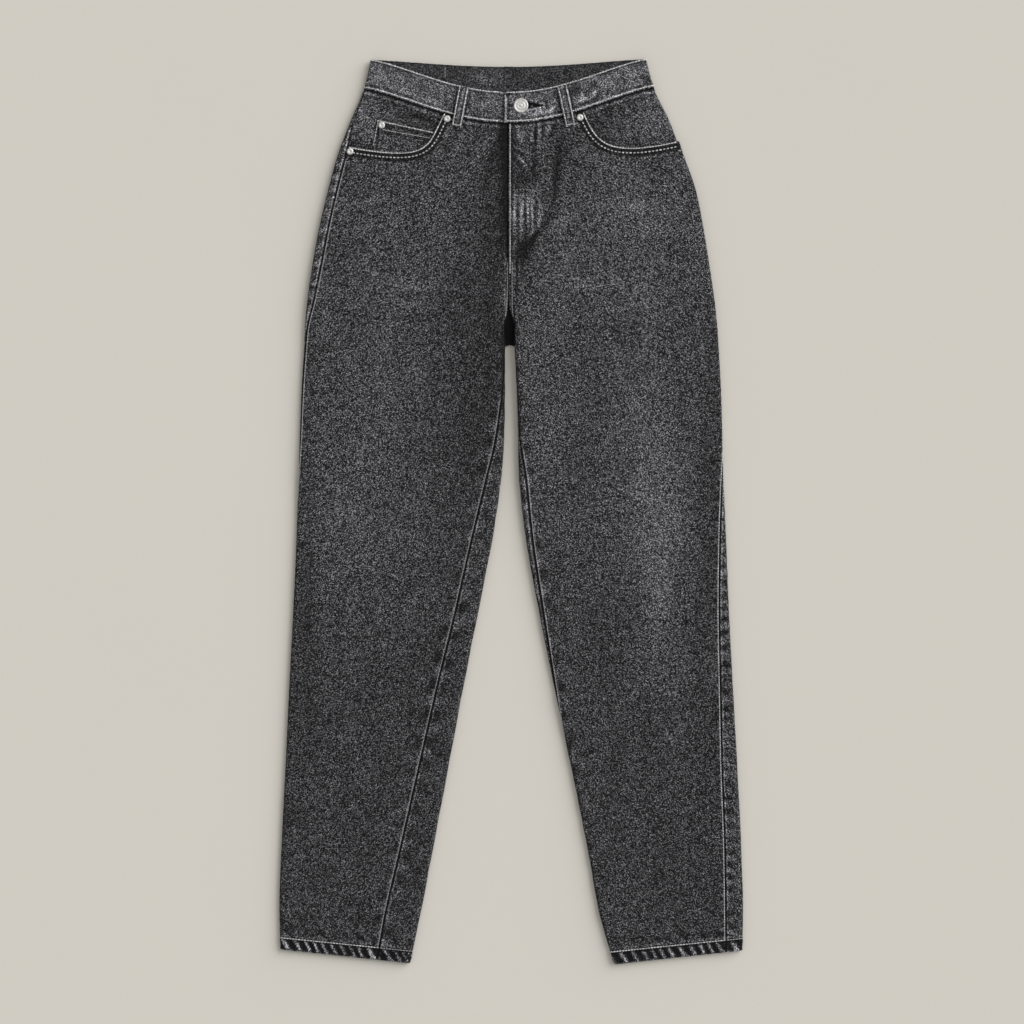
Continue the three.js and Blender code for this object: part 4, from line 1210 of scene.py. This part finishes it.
def coin_pocket():
    """The small pocket inside the right mouth: a patch on the facing with a doubled top edge."""
    corners = [(-155.5, 454.5), (-84, 439), (-84, 405), (-162, 405)]
    half, spots, v, s, across, down = laid_grid(corners, COIN_GRID)
    below_top = down * COIN_HEIGHT
    from_side = across * COIN_WIDTH
    wave = roping(from_side, 6.5, 171)
    height = 0.25 * ease(9 - below_top) + 0.12 * wave * bell(below_top - 5, 4)
    height -= 0.15 * bell(from_side - 6, 1.0)
    tone = 0.5 * np.clip(wave, 0, 1) * bell(below_top - 12, 4)
    # Worn pale edges, painted shade in the grooves beside the stitching, and painted shade deepening towards
    # the mouth's inner end
    tone += 0.98 + bells(below_top, (0.5, 0, 1.0), (-0.7, 3.4, 1.1), (-0.8, 10.6, 1.2))
    tone += bells(from_side, (0.4, 0, 1.0), (-0.8, 3.2, 1.1)) - 0.5 * ease((from_side - 45) / 30)
    tone += wash(spots[..., 0], spots[..., 1], 173)
    base = -CLOTH - SEAM_GAP
    outer = place(half, v, s, base + np.minimum(height, 0.28))
    inner = place(half, v, s, base - COIN_CLOTH)
    cloth("coin_pocket", outer, inner, spots[..., 0], (tone, INNER_TONE), spots, DENIM, "denim",
          ["pocket_facing_right"])


def loop_side(top, bottom):
    """The direction across a belt loop, square to its run."""
    run = (top - bottom) / np.linalg.norm(top - bottom)
    return np.array([run[1], -run[0]])


def front_loop(name, top, bottom, seed):
    """A belt loop: a folded strip from the band's top edge to below the waist seam, arched a little
    between its ends, with a valley between its two rows of stitches."""
    side = loop_side(top, bottom) * LOOP_WIDTH / 2
    corners = [top - side, top + side, bottom + side, bottom - side]
    half, _, v, s, across, down = laid_grid(corners, LOOP_GRID)
    lift, tone = loop_form(across, down, seed)
    outer = place(half, v, s, lift)
    inner = place(half, v, s, lift - LOOP_CLOTH)
    across_it, down_it = np.broadcast_arrays(across * LOOP_WIDTH, -down * LOOP_LENGTH)
    uv = np.stack([across_it, down_it], axis=-1) + top
    near = {"near_strip": nearness((0.5 - np.abs(across - 0.5)) * LOOP_WIDTH)}
    cloth(name, outer, inner, uv[..., 0], (tone, INNER_TONE), uv, BAND_DENIM, "denim_band", ["waistband"],
          near=near)


def loop_form(across, down, seed):
    """A belt loop's height over the panels, and its tone."""
    arch = LOOP_ARCH * np.sin(np.pi * np.clip((down - 0.12) / 0.68, 0, 1)) ** 0.7
    foot = BAND_PROUD * 0.9 * ease((down - 0.83) / 0.05)
    edges = np.abs(across - 0.5) * 2
    pad = bells(edges, (0.22, 0.72, 0.22), (-0.15, 0, 0.35), (-0.35, 1.0, 0.1))
    knots = 0.12 * roping(down * LOOP_LENGTH, 4.6, seed) * edges
    height = BAND_PROUD + SEAM_GAP + 0.1 + arch - foot + LOOP_CLOTH + pad + knots
    tone = 0.95 + 0.35 * bell(edges, 0.3) * (0.6 + 0.4 * roping(down * LOOP_LENGTH, 9.0, seed + 1))
    return height, tone + bells(down, (0.5, 0.005, 0.02), (0.4, 0.985, 0.02), (-0.4, 0.93, 0.025))


def fork():
    """The crossing of the four seams between the legs: a web that hangs in the fork, painted near-black as
    shade, with a low ridge along each seam."""
    across = np.linspace(-9.5, 6.0, 26)[None, :]
    up = np.linspace(192.5, 250.0, 60)[:, None]
    x, y = np.broadcast_arrays(across, up)
    top = 2.6 + bells(x, (0.5, -4.4, 1.2), (0.5, 0.8, 1.2)) + 0.8 * ease((y - 225) / 20)
    outer = np.stack([x, y + 1.2 * bell(x + 1.8, 3.0) * ease((200 - y) / 8), top], axis=-1)
    inner = outer - np.array([0, 0, CLOTH])
    # Painted shade: the web's top is near-black
    piece = wall("fork_cloth_painted_shade", outer, inner, (-2.2, 0.4), outer[..., :2], DENIM, "denim")
    declare_sheet(outer, x)


# The waistband

# Creases and worn patches of the band, as for the fronts
BAND_MARKS = table(MARK, [
    [-168, 497, -8, 14, 1.8, 0.3, 0.5],
    [-168, 493.4, -8, 14, 1.5, -0.3, -0.5],
    [-128, 489, -18, 16, 4, 0.3, 0.35],
    [-96, 476, -18, 16, 3, 0.25, 0.35],
    [-30, 472, 10, 12, 3, 0.25, 0.4],
    [-1, 471.1, 0, 4, 1.3, -0.3, -1.3],
    [-0.6, 480.8, 50, 5, 1.4, 0.3, 0.8],
    [-2.8, 484, 50, 4, 1.6, -0.3, -1.0],
    [24, 470.6, 0, 1.8, 1.8, 0.8, 2.6],
    [30, 462, 8, 18, 3, 0.2, 0.5],
    [46.8, 466.8, 46, 6, 1.6, 0.3, 0.8],
    # Dents beside each belt loop, painted dark as the loop's shadow
    [70.6, 471.7, 102, 19, 1.5, -0.4, -1.3],
    [56.9, 468.8, 102, 19, 1.3, -0.3, -1.0],
    [-52.4, 468.6, 79, 19, 1.4, -0.3, -1.2],
    [-66.1, 471.1, 79, 19, 1.4, -0.3, -1.2],
    # More creases and worn patches
    [72.5, 488, 60, 6, 3.5, -0.4, -0.9],
    [84.5, 478, 30, 9, 1.9, 0.4, 0.9],
    [88, 474.6, 20, 9, 1.7, -0.4, -0.8],
    [96.5, 486, 55, 6, 1.9, 0.4, 0.8],
    [101, 484, 55, 6, 1.7, -0.3, -0.6],
    [86, 470.6, 8, 6, 1.5, 0.3, 0.7],
    [112, 482, -10, 8, 3.5, 0.25, 0.4],
    [120, 503, 30, 10, 5, 0.3, 0.4],
    [146.7, 495.5, 26, 8, 2, 0.3, 0.6],
    [148, 492, 26, 9, 1.7, -0.3, -0.6],
])


def band_form(v, x, along, seed):
    """The band's height and tone: slanting crumples between its two stitched edges, worn pale on their
    crests, with a groove at each edge."""
    top = v * BAND_HEIGHT
    bottom = (1 - v) * BAND_HEIGHT
    slant = along + 0.9 * top
    broad = drift(slant / 11.0, top / 16.0, seed)
    fine = drift(slant / 4.6, top / 6.0 + 9, seed + 1)
    cross = drift((along - 0.7 * top) / 8.0, top / 9.0 + 21, seed + 2)
    crumple = 0.5 * broad + 0.3 * fine + 0.3 * cross
    inside = ease(top / 4.0) * ease(bottom / 4.0)
    edge_wave = roping(along, 6.0, seed + 3)
    height = 0.42 * crumple * inside - 0.22 * bell(top - 3.0, 0.9) - 0.22 * bell(bottom - 2.6, 0.9)
    height += 0.14 * edge_wave * (bell(top - 4.5, 3) + bell(bottom - 4.5, 3))
    tone_level = mix(0.45, 0.95, ease((x + 20) / 60))
    tone = 1 + inside * tone_level * np.clip(crumple + 0.06, -0.6, 1)
    tone += 0.15 * edge_wave * (bell(top - 6, 4) + bell(bottom - 6, 4))
    return height, tone


def on_band(half, v, s_middle):
    """The distance round, at each row, of a station of the band's middle row, and how far the band
    stands proud of the panels there: not at all underneath."""
    length = section(half, BAND_MIDDLE)["length"]
    row = section(half, v)
    past_end = s_middle + (row["length"] - length)
    s = np.where(np.abs(s_middle) > length, past_end, s_middle * row["length"] / length)
    turn = np.clip(s / row["outer_radius"], -QUARTER, QUARTER)
    return s, BAND_PROUD * (1 + np.sin(turn)) / 2


def end_corner(to_end):
    """How far down the rows start near the band's overlapping end, so that its top corner is round."""
    turn = 1 - to_end / BAND_CORNER
    return np.where(to_end < BAND_CORNER, 0.17 * (1 - np.sqrt(np.clip(1 - turn ** 2, 0, 1))), 0)


def waistband():
    """One strip: from its underlap at the fly, round one side, across the back, round the other side
    and to its overlapping end."""
    right, left = (section(half, BAND_MIDDLE)["length"] for half in (RIGHT, LEFT))
    folds = [(0.0, 0.03, 3.0)]
    to_fold, from_fold = 1 - crowded(90, folds)[::-1], crowded(90, folds)
    runs = [
        (LEFT, np.linspace(left - UNDERLAP_LENGTH, left, 24)[:-1], "under"),
        (RIGHT, mix(right, 0.0, 1 - crowded(120, folds)[::-1])[:-1], "lap"),
        (RIGHT, mix(0.0, -right, from_fold)[:-1], "back"),
        (LEFT, mix(-left, 0.0, to_fold)[:-1], "back"),
        (LEFT, mix(0.0, left + OVERLAP_LENGTH, crowded(190, folds + [(0.92, 0.12, 1.6)])), "over"),
    ]
    rows = crowded(34, [(0, 0.06, 1.5), (1, 0.06, 1.0), (0.57, 0.08, 1.2)])
    edges = ("near_top", "near_bottom", "near_end")
    strips = {name: [] for name in ("outer", "inner", "tone", "inner_tone", "uv", *edges)}
    start = 0.0
    for half, stations, kind in runs:
        from_end = left + OVERLAP_LENGTH - stations if kind == "over" else np.full_like(stations, EDGE_REACH)
        corner = end_corner(from_end)
        v = corner + (1 - corner) * rows[:, None]
        s, proud = on_band(half, v, stations)
        under = ease((stations - right + BAND_LAP) / BAND_LAP_EASE)
        sink = BAND_SINK * {"under": 1.0, "lap": under}.get(kind, 0.0)
        spot = place(half, v, s)
        x, y = spot[..., 0], spot[..., 1]
        along = start + np.abs(stations - stations[0]) + np.zeros_like(x)
        height, tone = band_form(v, x, along, BAND_SEED)
        if kind != "back":
            rise, paler = marks(BAND_MARKS, x, y)
            height += rise
            tone += paler
        if kind == "over":
            hole, slit = buttonhole(x, y)
            height += hole
            tone += slit
        if kind == "lap":
            tone -= 0.95 * ease((x + 11) / 5)  # in the shadow of the end that laps over it
        height *= 1 - ease(0.5 - s) * ease((0.45 - (spot[..., 2] - section(half, v)["lift"])) / 0.4)
        shown = 0.3 if kind == "back" else 1.0
        strips["outer"].append(place(half, v, s, proud - sink + height))
        strips["inner"].append(place(half, v, s, proud - sink - BAND_CLOTH))
        strips["tone"].append(tone)
        strips["inner_tone"].append(inner_band_tone(x, y, v))
        strips["uv"].append(np.stack([along, -BAND_HEIGHT * v], axis=-1))
        strips["near_top"].append(nearness(v * BAND_HEIGHT) * shown)
        strips["near_bottom"].append(nearness((1 - v) * BAND_HEIGHT) * shown)
        strips["near_end"].append(nearness(from_end) + np.zeros_like(x))
        start += np.abs(stations[-1] - stations[0])
    whole = {name: np.concatenate(grids, axis=1) for name, grids in strips.items()}
    tones = whole["tone"], whole["inner_tone"]
    cloth("waistband", whole["outer"], whole["inner"], whole["uv"][..., 0], tones, whole["uv"], BAND_DENIM,
          "denim_band", near={edge: whole[edge] for edge in edges})


def buttonhole(x, y):
    """The gaping buttonhole beside the button: a pressed-in lens painted dark as shade, with a worn rim."""
    share = np.clip((x - BUTTON_PLACE[0]) / (BUTTONHOLE_END - BUTTON_PLACE[0]), 0, 1)
    gape = 4.0 * np.sin(np.pi * np.clip(share * 0.55 + 0.45, 0, 1)) ** 1.1 + 0.05
    inside = (x > BUTTON_PLACE[0]) & (x < BUTTONHOLE_END)
    off = np.abs(y - BUTTON_PLACE[1] - 0.6)
    hole = np.where(inside, ease((gape - off) / 0.9 + 0.5), 0)
    rim = np.where(x > BUTTON_PLACE[0], bell(off - gape - 1.6, 1.3), 0) * ease((BUTTONHOLE_END + 3 - x) / 3)
    return -1.9 * hole + 0.25 * rim, -2.4 * hole + 0.7 * rim


def inner_band_tone(x, y, v):
    """The inside of the band, painted darker as shade, with a pale patch at the middle of the back and
    painted shade along its top edge.
    """
    patch = 0.55 * bell(x + 30, 17) * bell(v - 0.5, 0.35)
    return 0.28 + patch - 0.5 * bell(v, 0.05) + 0.15 * drift(x / 7, y / 7, 240)


# Sewing

# Along a stitch from its middle, and round it, as shares of half its length and of its width
STITCH_RINGS = np.array([[-0.86, 0.62], [-0.4, 1.0], [0.4, 1.0], [0.86, 0.62]])
STITCH_SIDES = 6
STITCH_WANDER = 0.06
STITCH_TONES = (0.75, 1.2)


def stitch_mesh(centres, along, normal, length, width, height):
    """Many stitches as one set of points and faces: each is a bar with rounded ends, half sunk."""
    across = unit(np.cross(normal, along))
    turn = np.linspace(0, 2 * np.pi, STITCH_SIDES, endpoint=False)[:, None]
    lengthways, round_it = STITCH_RINGS[:, 0, None, None], STITCH_RINGS[:, 1, None, None]
    bars = (
        centres[:, None, None]
        + along[:, None, None] * (lengthways * length / 2)
        + across[:, None, None] * (round_it * np.cos(turn) * width / 2)
        + normal[:, None, None] * (round_it * np.sin(turn) * height)
    )
    tips = np.stack([centres - along * length / 2, centres + along * length / 2], axis=1)
    points = np.concatenate([bars.reshape(len(centres), -1, 3), tips], axis=1)
    offset = (np.arange(len(centres)) * points.shape[1])[:, None, None]
    faces = capped_faces(len(STITCH_RINGS), STITCH_SIDES)
    return points.reshape(-1, 3), [(face + offset).reshape(-1, face.shape[1]) for face in faces]


class Sewing:
    """Rows of stitches that are gathered into one piece."""

    def __init__(self, name):
        self.name = name
        self.points = []
        self.faces = []
        self.tones = []
        self.count = 0

    def row(self, path, normals, spacing=3.3, length=3.15, width=1.2, height=0.5, tone=1.0, seed=1):
        """Stitches along a path of points, at even steps, with the cloth's normals beside it."""
        steps = np.linalg.norm(np.diff(path, axis=0), axis=1)
        run = np.concatenate([[0], np.cumsum(steps)])
        number = max(int(run[-1] / spacing), 1)
        middles = (np.arange(number) + 0.5) * run[-1] / number

        def sample(values, where):
            return np.stack([np.interp(where, run, values[:, k]) for k in range(3)], axis=-1)

        random = np.random.RandomState(seed)
        along = unit(sample(path, middles + length / 2) - sample(path, middles - length / 2))
        normal = unit(sample(normals, middles))
        centres = sample(path, middles) + normal * random.uniform(-STITCH_WANDER, STITCH_WANDER, (number, 1))
        points, faces = stitch_mesh(centres, along, normal, length, width, height)
        self.faces += [face + self.count for face in faces]
        self.points.append(points)
        self.tones.append(np.repeat(tone * random.uniform(*STITCH_TONES, number), len(points) // number))
        self.count += len(points)

    def finish(self):
        """Makes the piece."""
        points = np.concatenate(self.points)
        uv = points[:, :2] + points[:, 2:3]
        mesh_object(self.name, points, self.faces, np.concatenate(self.tones), uv, THREAD)


def on_front(half, v, s):
    """Points on a front panel's finished surface, with its normals."""
    v, s = np.broadcast_arrays(np.asarray(v, float), np.asarray(s, float))
    return raised(half, v, s, front_form(half, v, s)[0] - lap_sink(half, section(half, v), s) + STITCH_LIFT)


def on_line(half, start, end, count):
    """Places on a half, as rows and distances round, along a straight line seen from above."""
    spots = mix(np.array(start), np.array(end), np.linspace(0, 1, count)[:, None])
    return locate(half, spots[:, 0], spots[:, 1], PANEL_TOP)


def leg_sewing(half):
    """The stitches that show on a leg: beside the side seam and the inseam, and round the hem."""
    sewing = Sewing(f"stitches_leg_{half.side}")
    seed = half.leg_seed
    v = np.linspace(3.2, 18.7, 500)
    row = section(half, v)
    first_row, inset, tone = (3.0, 1.9, 0.55) if half is RIGHT else (10.6, 1.7, 0.9)
    low = v > first_row
    sewing.row(*on_front(half, v[low], row["out_seam"][low] + inset), tone=tone, seed=seed)
    below = v > half.inseam_row
    inseam = front_inner(row, 1.9)[below]
    sewing.row(*on_front(half, v[below], inseam), width=1.0, tone=0.5, seed=seed + 1)
    v = np.full(300, HEM_STITCH_ROW)
    row = section(half, v)
    share = np.linspace(0, 1, 300)
    s = mix(front_start(row) + 0.5, front_end(half, row) - 0.5, share)
    sewing.row(*on_front(half, v, s), width=1.4, seed=seed + 2)
    s = mix(back_start(row) - 0.5, back_end(row) + 0.5, share)
    sewing.row(*raised(half, v, s, back_form(half, v, s)[0] + 0.05), height=0.25, tone=0.7, seed=seed + 3)
    sewing.finish()


def mouth_sewing(half):
    """Two rows of stitches below a pocket mouth."""
    sewing = Sewing(f"stitches_mouth_{half.side}")
    curve = half.mouth[2:-2]
    tangent = unit(np.gradient(curve, axis=0))
    sign = 1 if half is RIGHT else -1
    below = np.stack([-tangent[:, 1], tangent[:, 0]], axis=-1) * sign
    for distance, tone, spacing, length, width in ((1.3, 1.2, 3.2, 3.1, 1.2), (6.4, 0.95, 4.3, 2.9, 1.6)):
        spots = curve + below * distance
        v, s = locate(half, spots[:, 0], spots[:, 1], PANEL_TOP)
        keep = (s > section(half, v)["out_seam"] + 1) & (v > PANEL_TOP + 0.03)
        sewing.row(*on_front(half, v[keep], s[keep]), spacing, length, width, tone=tone, seed=350)
    sewing.finish()


def fly_sewing():
    """The edge stitches of the fly, the centre seam's double row, and the small bars of the fly."""
    sewing = Sewing("stitches_fly")
    v = np.linspace(PANEL_TOP + 0.05, 5.75, 240)
    sewing.row(*on_front(LEFT, v, section(LEFT, v)["length"] - 1.5), tone=1.0, seed=360)
    for x, half, tone in ((-4.3, RIGHT, 0.8), (0.9, LEFT, 0.5)):
        seam = on_line(half, (x, 290), (x, 226), 120)
        sewing.row(*on_front(half, *seam), tone=tone, seed=361)
    bars = [((1.5, 373.2), (27.0, 373.2)), ((1.5, 366.5), (27.0, 366.8)), ((20, 330.5), (27, 329.5))]
    for k, ends in enumerate(bars):
        bar = on_line(LEFT, *ends, 12)
        sewing.row(*on_front(LEFT, *bar), spacing=3.6, length=1.8, width=0.9, tone=0.7, seed=362 + k)
    sewing.finish()


def coin_sewing():
    """The rows of stitches of the coin pocket: two along its top and one down its side."""
    sewing = Sewing("stitches_coin_pocket")
    rows = [
        ((-155.8, 453.6), (-86, 438.6), 1.2, 1.1),
        ((-150, 443.2), (-90, 432.6), 1.0, 0.8),
        ((-154.6, 452.6), (-160.4, 424.0), 1.2, 0.9),
    ]
    for k, (start, end, width, tone) in enumerate(rows):
        spots = mix(np.array(start), np.array(end), np.linspace(0, 1, 60)[:, None])
        spots = spots[spots[:, 1] > mouth_height(RIGHT, spots[:, 0]) + 1.0]
        v, s = locate(RIGHT, spots[:, 0], spots[:, 1], PANEL_TOP)
        sewing.row(*raised(RIGHT, v, s, 0.35 - CLOTH - SEAM_GAP), width=width, tone=tone, seed=365 + k)
    sewing.finish()


def band_surface(half, v, s_middle):
    """Points on the level stretches of the finished band, with its normals."""
    s, proud = on_band(half, v, s_middle)
    return raised(half, v, s, proud + BAND_STITCH_LIFT)


def band_sewing():
    """The rows of stitches along the band's top and bottom edges, and up its overlapping end, and a
    short one on the inside of its back."""
    sewing = Sewing("stitches_band")
    count = 300
    for v_edge, tone in ((0.035, 1.15), (0.965, 1.2)):
        for half, over, seed in ((RIGHT, -12.0, 370), (LEFT, OVERLAP_LENGTH - 2.5, 380)):
            s = np.linspace(0.5, section(half, BAND_MIDDLE)["length"] + over, count)
            sewing.row(*band_surface(half, np.full(count, v_edge), s), tone=tone, seed=seed)
    end = section(LEFT, BAND_MIDDLE)["length"] + OVERLAP_LENGTH - 1.6
    sewing.row(*band_surface(LEFT, np.linspace(0.2, 0.95, 60), np.full(60, end)), tone=1.1, seed=390)
    v = np.linspace(0.12, 0.5, 20)
    s = -around_at(RIGHT, v, -77.0)
    inside = place(RIGHT, v, s, -BAND_CLOTH - 0.1)
    sewing.row(inside, inside - place(RIGHT, v, s), tone=0.5, seed=391)
    sewing.finish()


def loop_sewing(name, top, bottom, seed):
    """Two rows of stitches down a belt loop, and a bar across its foot."""
    sewing = Sewing(f"stitches_{name}")
    side = loop_side(top, bottom)
    half = RIGHT if top[0] < 0 else LEFT

    def on_loop(across, down):
        spots = mix(top, bottom, down[:, None]) + side * ((across - 0.5) * LOOP_WIDTH)[:, None]
        v, s = locate(half, spots[:, 0], spots[:, 1])
        return raised(half, v, s, loop_form(across, down, seed)[0] + 0.1)

    down = np.linspace(0.03, 0.97, 80)
    for across in (0.09, 0.91):
        sewing.row(*on_loop(np.full(80, across), down), width=1.1, tone=1.15, seed=seed)
    bar = on_loop(np.linspace(0.05, 0.95, 10), np.full(10, 0.965))
    sewing.row(*bar, spacing=1.4, length=1.3, tone=1.0, seed=seed + 1)
    sewing.finish()


# Metal pieces

def rivet_seat(half, spot, depth):
    """A rivet's height: clear of the highest cloth under its rim."""
    turn = np.arange(8) * math.pi / 4
    x = spot[0] + RIVET_RADIUS * np.cos(turn)
    y = spot[1] + RIVET_RADIUS * np.sin(turn)
    return float(place(half, *locate(half, x, y))[:, 2].max()) - depth + SEAM_GAP


def rivet(name, half, spot, depth):
    """A domed rivet with a dimple and a turned rim."""
    z = rivet_seat(half, spot, depth) + 0.15
    turn = np.linspace(0, QUARTER, 7)[:-1]
    dome = [(RIVET_RADIUS - 0.9 * (1 - math.cos(QUARTER - t)), 0.45 + 0.85 * math.sin(t)) for t in turn]
    rim = [(0, -0.1), (RIVET_RADIUS - 0.2, -0.1), (RIVET_RADIUS, 0.15)]
    dimple = [(2.4, 1.36), (1.7, 1.34), (1.25, 1.2), (1.0, 0.9), (0.5, 0.8), (0, 0.78)]
    turned(name, rim + dome + dimple, TURNED_SIDES, spot, z, RIVET_METAL)


def button():
    """A shank button: a dished cap with a rounded rim, a step, a raised ring and a low centre."""
    z = float(place(LEFT, *locate(LEFT, *BUTTON_PLACE))[2]) + BAND_PROUD + SEAM_GAP
    shank = [(0, -2.3), (2.0, -2.3), (2.0, -0.1)]
    from_rim = [
        (1.4, 0.1), (0.5, 0.4), (0, 1.0), (0.12, 1.7), (0.5, 2.2), (1.0, 2.42), (1.5, 2.38), (2.0, 2.1),
        (2.6, 1.95), (3.6, 1.97), (4.0, 2.2), (4.4, 2.38), (4.9, 2.3), (5.4, 2.1),
    ]
    centre = [(1.8, 2.15), (1.2, 2.45), (0.6, 2.6), (0, 2.62)]
    profile = shank + [(BUTTON_RADIUS - inset, height) for inset, height in from_rim] + centre
    turned("button", profile, 2 * TURNED_SIDES, BUTTON_PLACE, z, BUTTON_METAL)


def flat_patch(name, half_width, top, height, centre_x, finish, slot, point=0.0, draw_in=0.0):
    """A hidden flat piece that the jeans lie on: straight sides drawn in a little to a pointed foot."""
    across = np.linspace(-1, 1, PATCH_GRID[1])[None, :]
    down = np.linspace(0, 1, PATCH_GRID[0])[:, None]
    x = centre_x + across * (half_width - draw_in * down)
    y = top - down * (height + point * (1 - np.abs(across)))
    edge = np.minimum(np.minimum((1 - np.abs(across)) * half_width, down * height), (1 - down) * height)
    outer = np.stack([x, y, 0.12 * bell(edge - 3.0, 0.9)], axis=-1)
    inner = np.stack([x, y, np.full_like(x, PATCH_CLOTH)], axis=-1)
    tone = 1 + 0.4 * bell(edge, 1.5) + wash(x, y, 260)
    cloth(name, outer, inner, x, (tone, 0.8), outer[..., :2], finish, slot, edge_bulge=0.2)


# The garment

for half in (RIGHT, LEFT):
    front_panel(half)
    back_panel(half)
    yoke(half)
    pocket_facing(half)
    leg_sewing(half)
    mouth_sewing(half)
coin_pocket()
coin_sewing()
fork()
waistband()
band_sewing()
fly_sewing()
LOOPS = {
    "belt_loop_front_right": ((-54.9, 493.0), (-63.6, 446.7)),
    "belt_loop_front_left": ((58.8, 493.2), (68.7, 447.3)),
}
for number, (name, ends) in enumerate(LOOPS.items()):
    top, bottom = np.array(ends)
    front_loop(name, top, bottom, 400 + 10 * number)
    loop_sewing(name, top, bottom, 400 + 10 * number)
for name, centre_x, top in (("right", -108, 521), ("centre", -3, 517), ("left", 102, 521)):
    flat_patch(f"belt_loop_back_{name}", LOOP_WIDTH / 2, top, LOOP_LENGTH, centre_x, BAND_DENIM, "denim_band")
for name, centre_x in (("right", -88), ("left", 82)):
    flat_patch(f"back_pocket_{name}", 70, 402, 128, centre_x, DENIM, "denim", 24, 6)
button()
RIVETS = {
    "rivet_right_inner": (RIGHT, (-74.4, 455.5), 0.0),
    "rivet_right_outer": (RIGHT, (-187.0, 417.6), 0.0),
    "rivet_coin_pocket": (RIGHT, (-150.5, 448.2), CLOTH + SEAM_GAP),
    "rivet_left_inner": (LEFT, (79.7, 457.0), 0.0),
}
for name, (half, spot, depth) in RIVETS.items():
    rivet(name, half, spot, depth)
bpy.data.objects["rivet_left_outer"].material_slots[0].material = RIVET_METAL


# Floor, lights and camera

FLOOR_COLOR = (0.69, 0.66, 0.597)
FLOOR_REACH = 6.0
FLOOR_HEIGHT = -0.0003
CAMERA_HEIGHT = 3.4
FRAME_SPAN = 1.188  # metres of the surface across the picture
FRAME_CENTRE = (0.0008, -0.0004)
FRAME_LEVEL = 0.006
SENSOR = 36.0


def floor():
    """A pale, even, very large floor just under the jeans."""
    finish = Finish("floor")
    coordinates = finish.node("ShaderNodeTexCoord", {}, {}, output=3)
    cloud = finish.node("ShaderNodeTexNoise", {}, {"Vector": coordinates, "Scale": 3.0, "Detail": 3.0})
    color = finish.shade(FLOOR_COLOR, cloud * 0.02 + 0.99)
    material = finish.surface({"Base Color": color, "Roughness": 0.9, "Specular IOR Level": 0.1})
    mesh = bpy.data.meshes.new("floor")
    corners = np.array([(-1, -1, 0), (1, -1, 0), (1, 1, 0), (-1, 1, 0)]) * FLOOR_REACH + (0, 0, FLOOR_HEIGHT)
    mesh.from_pydata(corners.tolist(), [], [(0, 1, 2, 3)])
    mesh.materials.append(material)
    plane = bpy.data.objects.new("floor", mesh)
    bpy.context.scene.collection.objects.link(plane)


def sun_light(name, direction, spread, strength):
    """An even light from far away, as from a large soft window."""
    data = bpy.data.lights.new(name, "SUN")
    data.angle = math.radians(spread)
    data.energy = strength
    lamp = bpy.data.objects.new(name, data)
    away = unit(np.array(direction, float))
    lamp.rotation_euler = (math.acos(away[2]), 0, math.atan2(away[1], away[0]) + math.pi / 2)
    bpy.context.scene.collection.objects.link(lamp)


def studio():
    """A soft window light, a grey sky to fill the shadows, and a camera straight above."""
    sun_light("window", (0.72, 0.48, 0.42), 56, 2.96)
    world = bpy.data.worlds.new("studio")
    world.use_nodes = True
    world.node_tree.nodes["Background"].inputs["Color"].default_value = (1, 0.995, 0.985, 1)
    world.node_tree.nodes["Background"].inputs["Strength"].default_value = 0.5
    bpy.context.scene.world = world
    data = bpy.data.cameras.new("camera")
    data.sensor_width = SENSOR
    data.lens = SENSOR * CAMERA_HEIGHT / FRAME_SPAN
    camera = bpy.data.objects.new("camera", data)
    camera.location = (*FRAME_CENTRE, CAMERA_HEIGHT + FRAME_LEVEL)
    bpy.context.scene.collection.objects.link(camera)
    bpy.context.scene.camera = camera
    bpy.context.scene.view_settings.view_transform = "Standard"


floor()
studio()
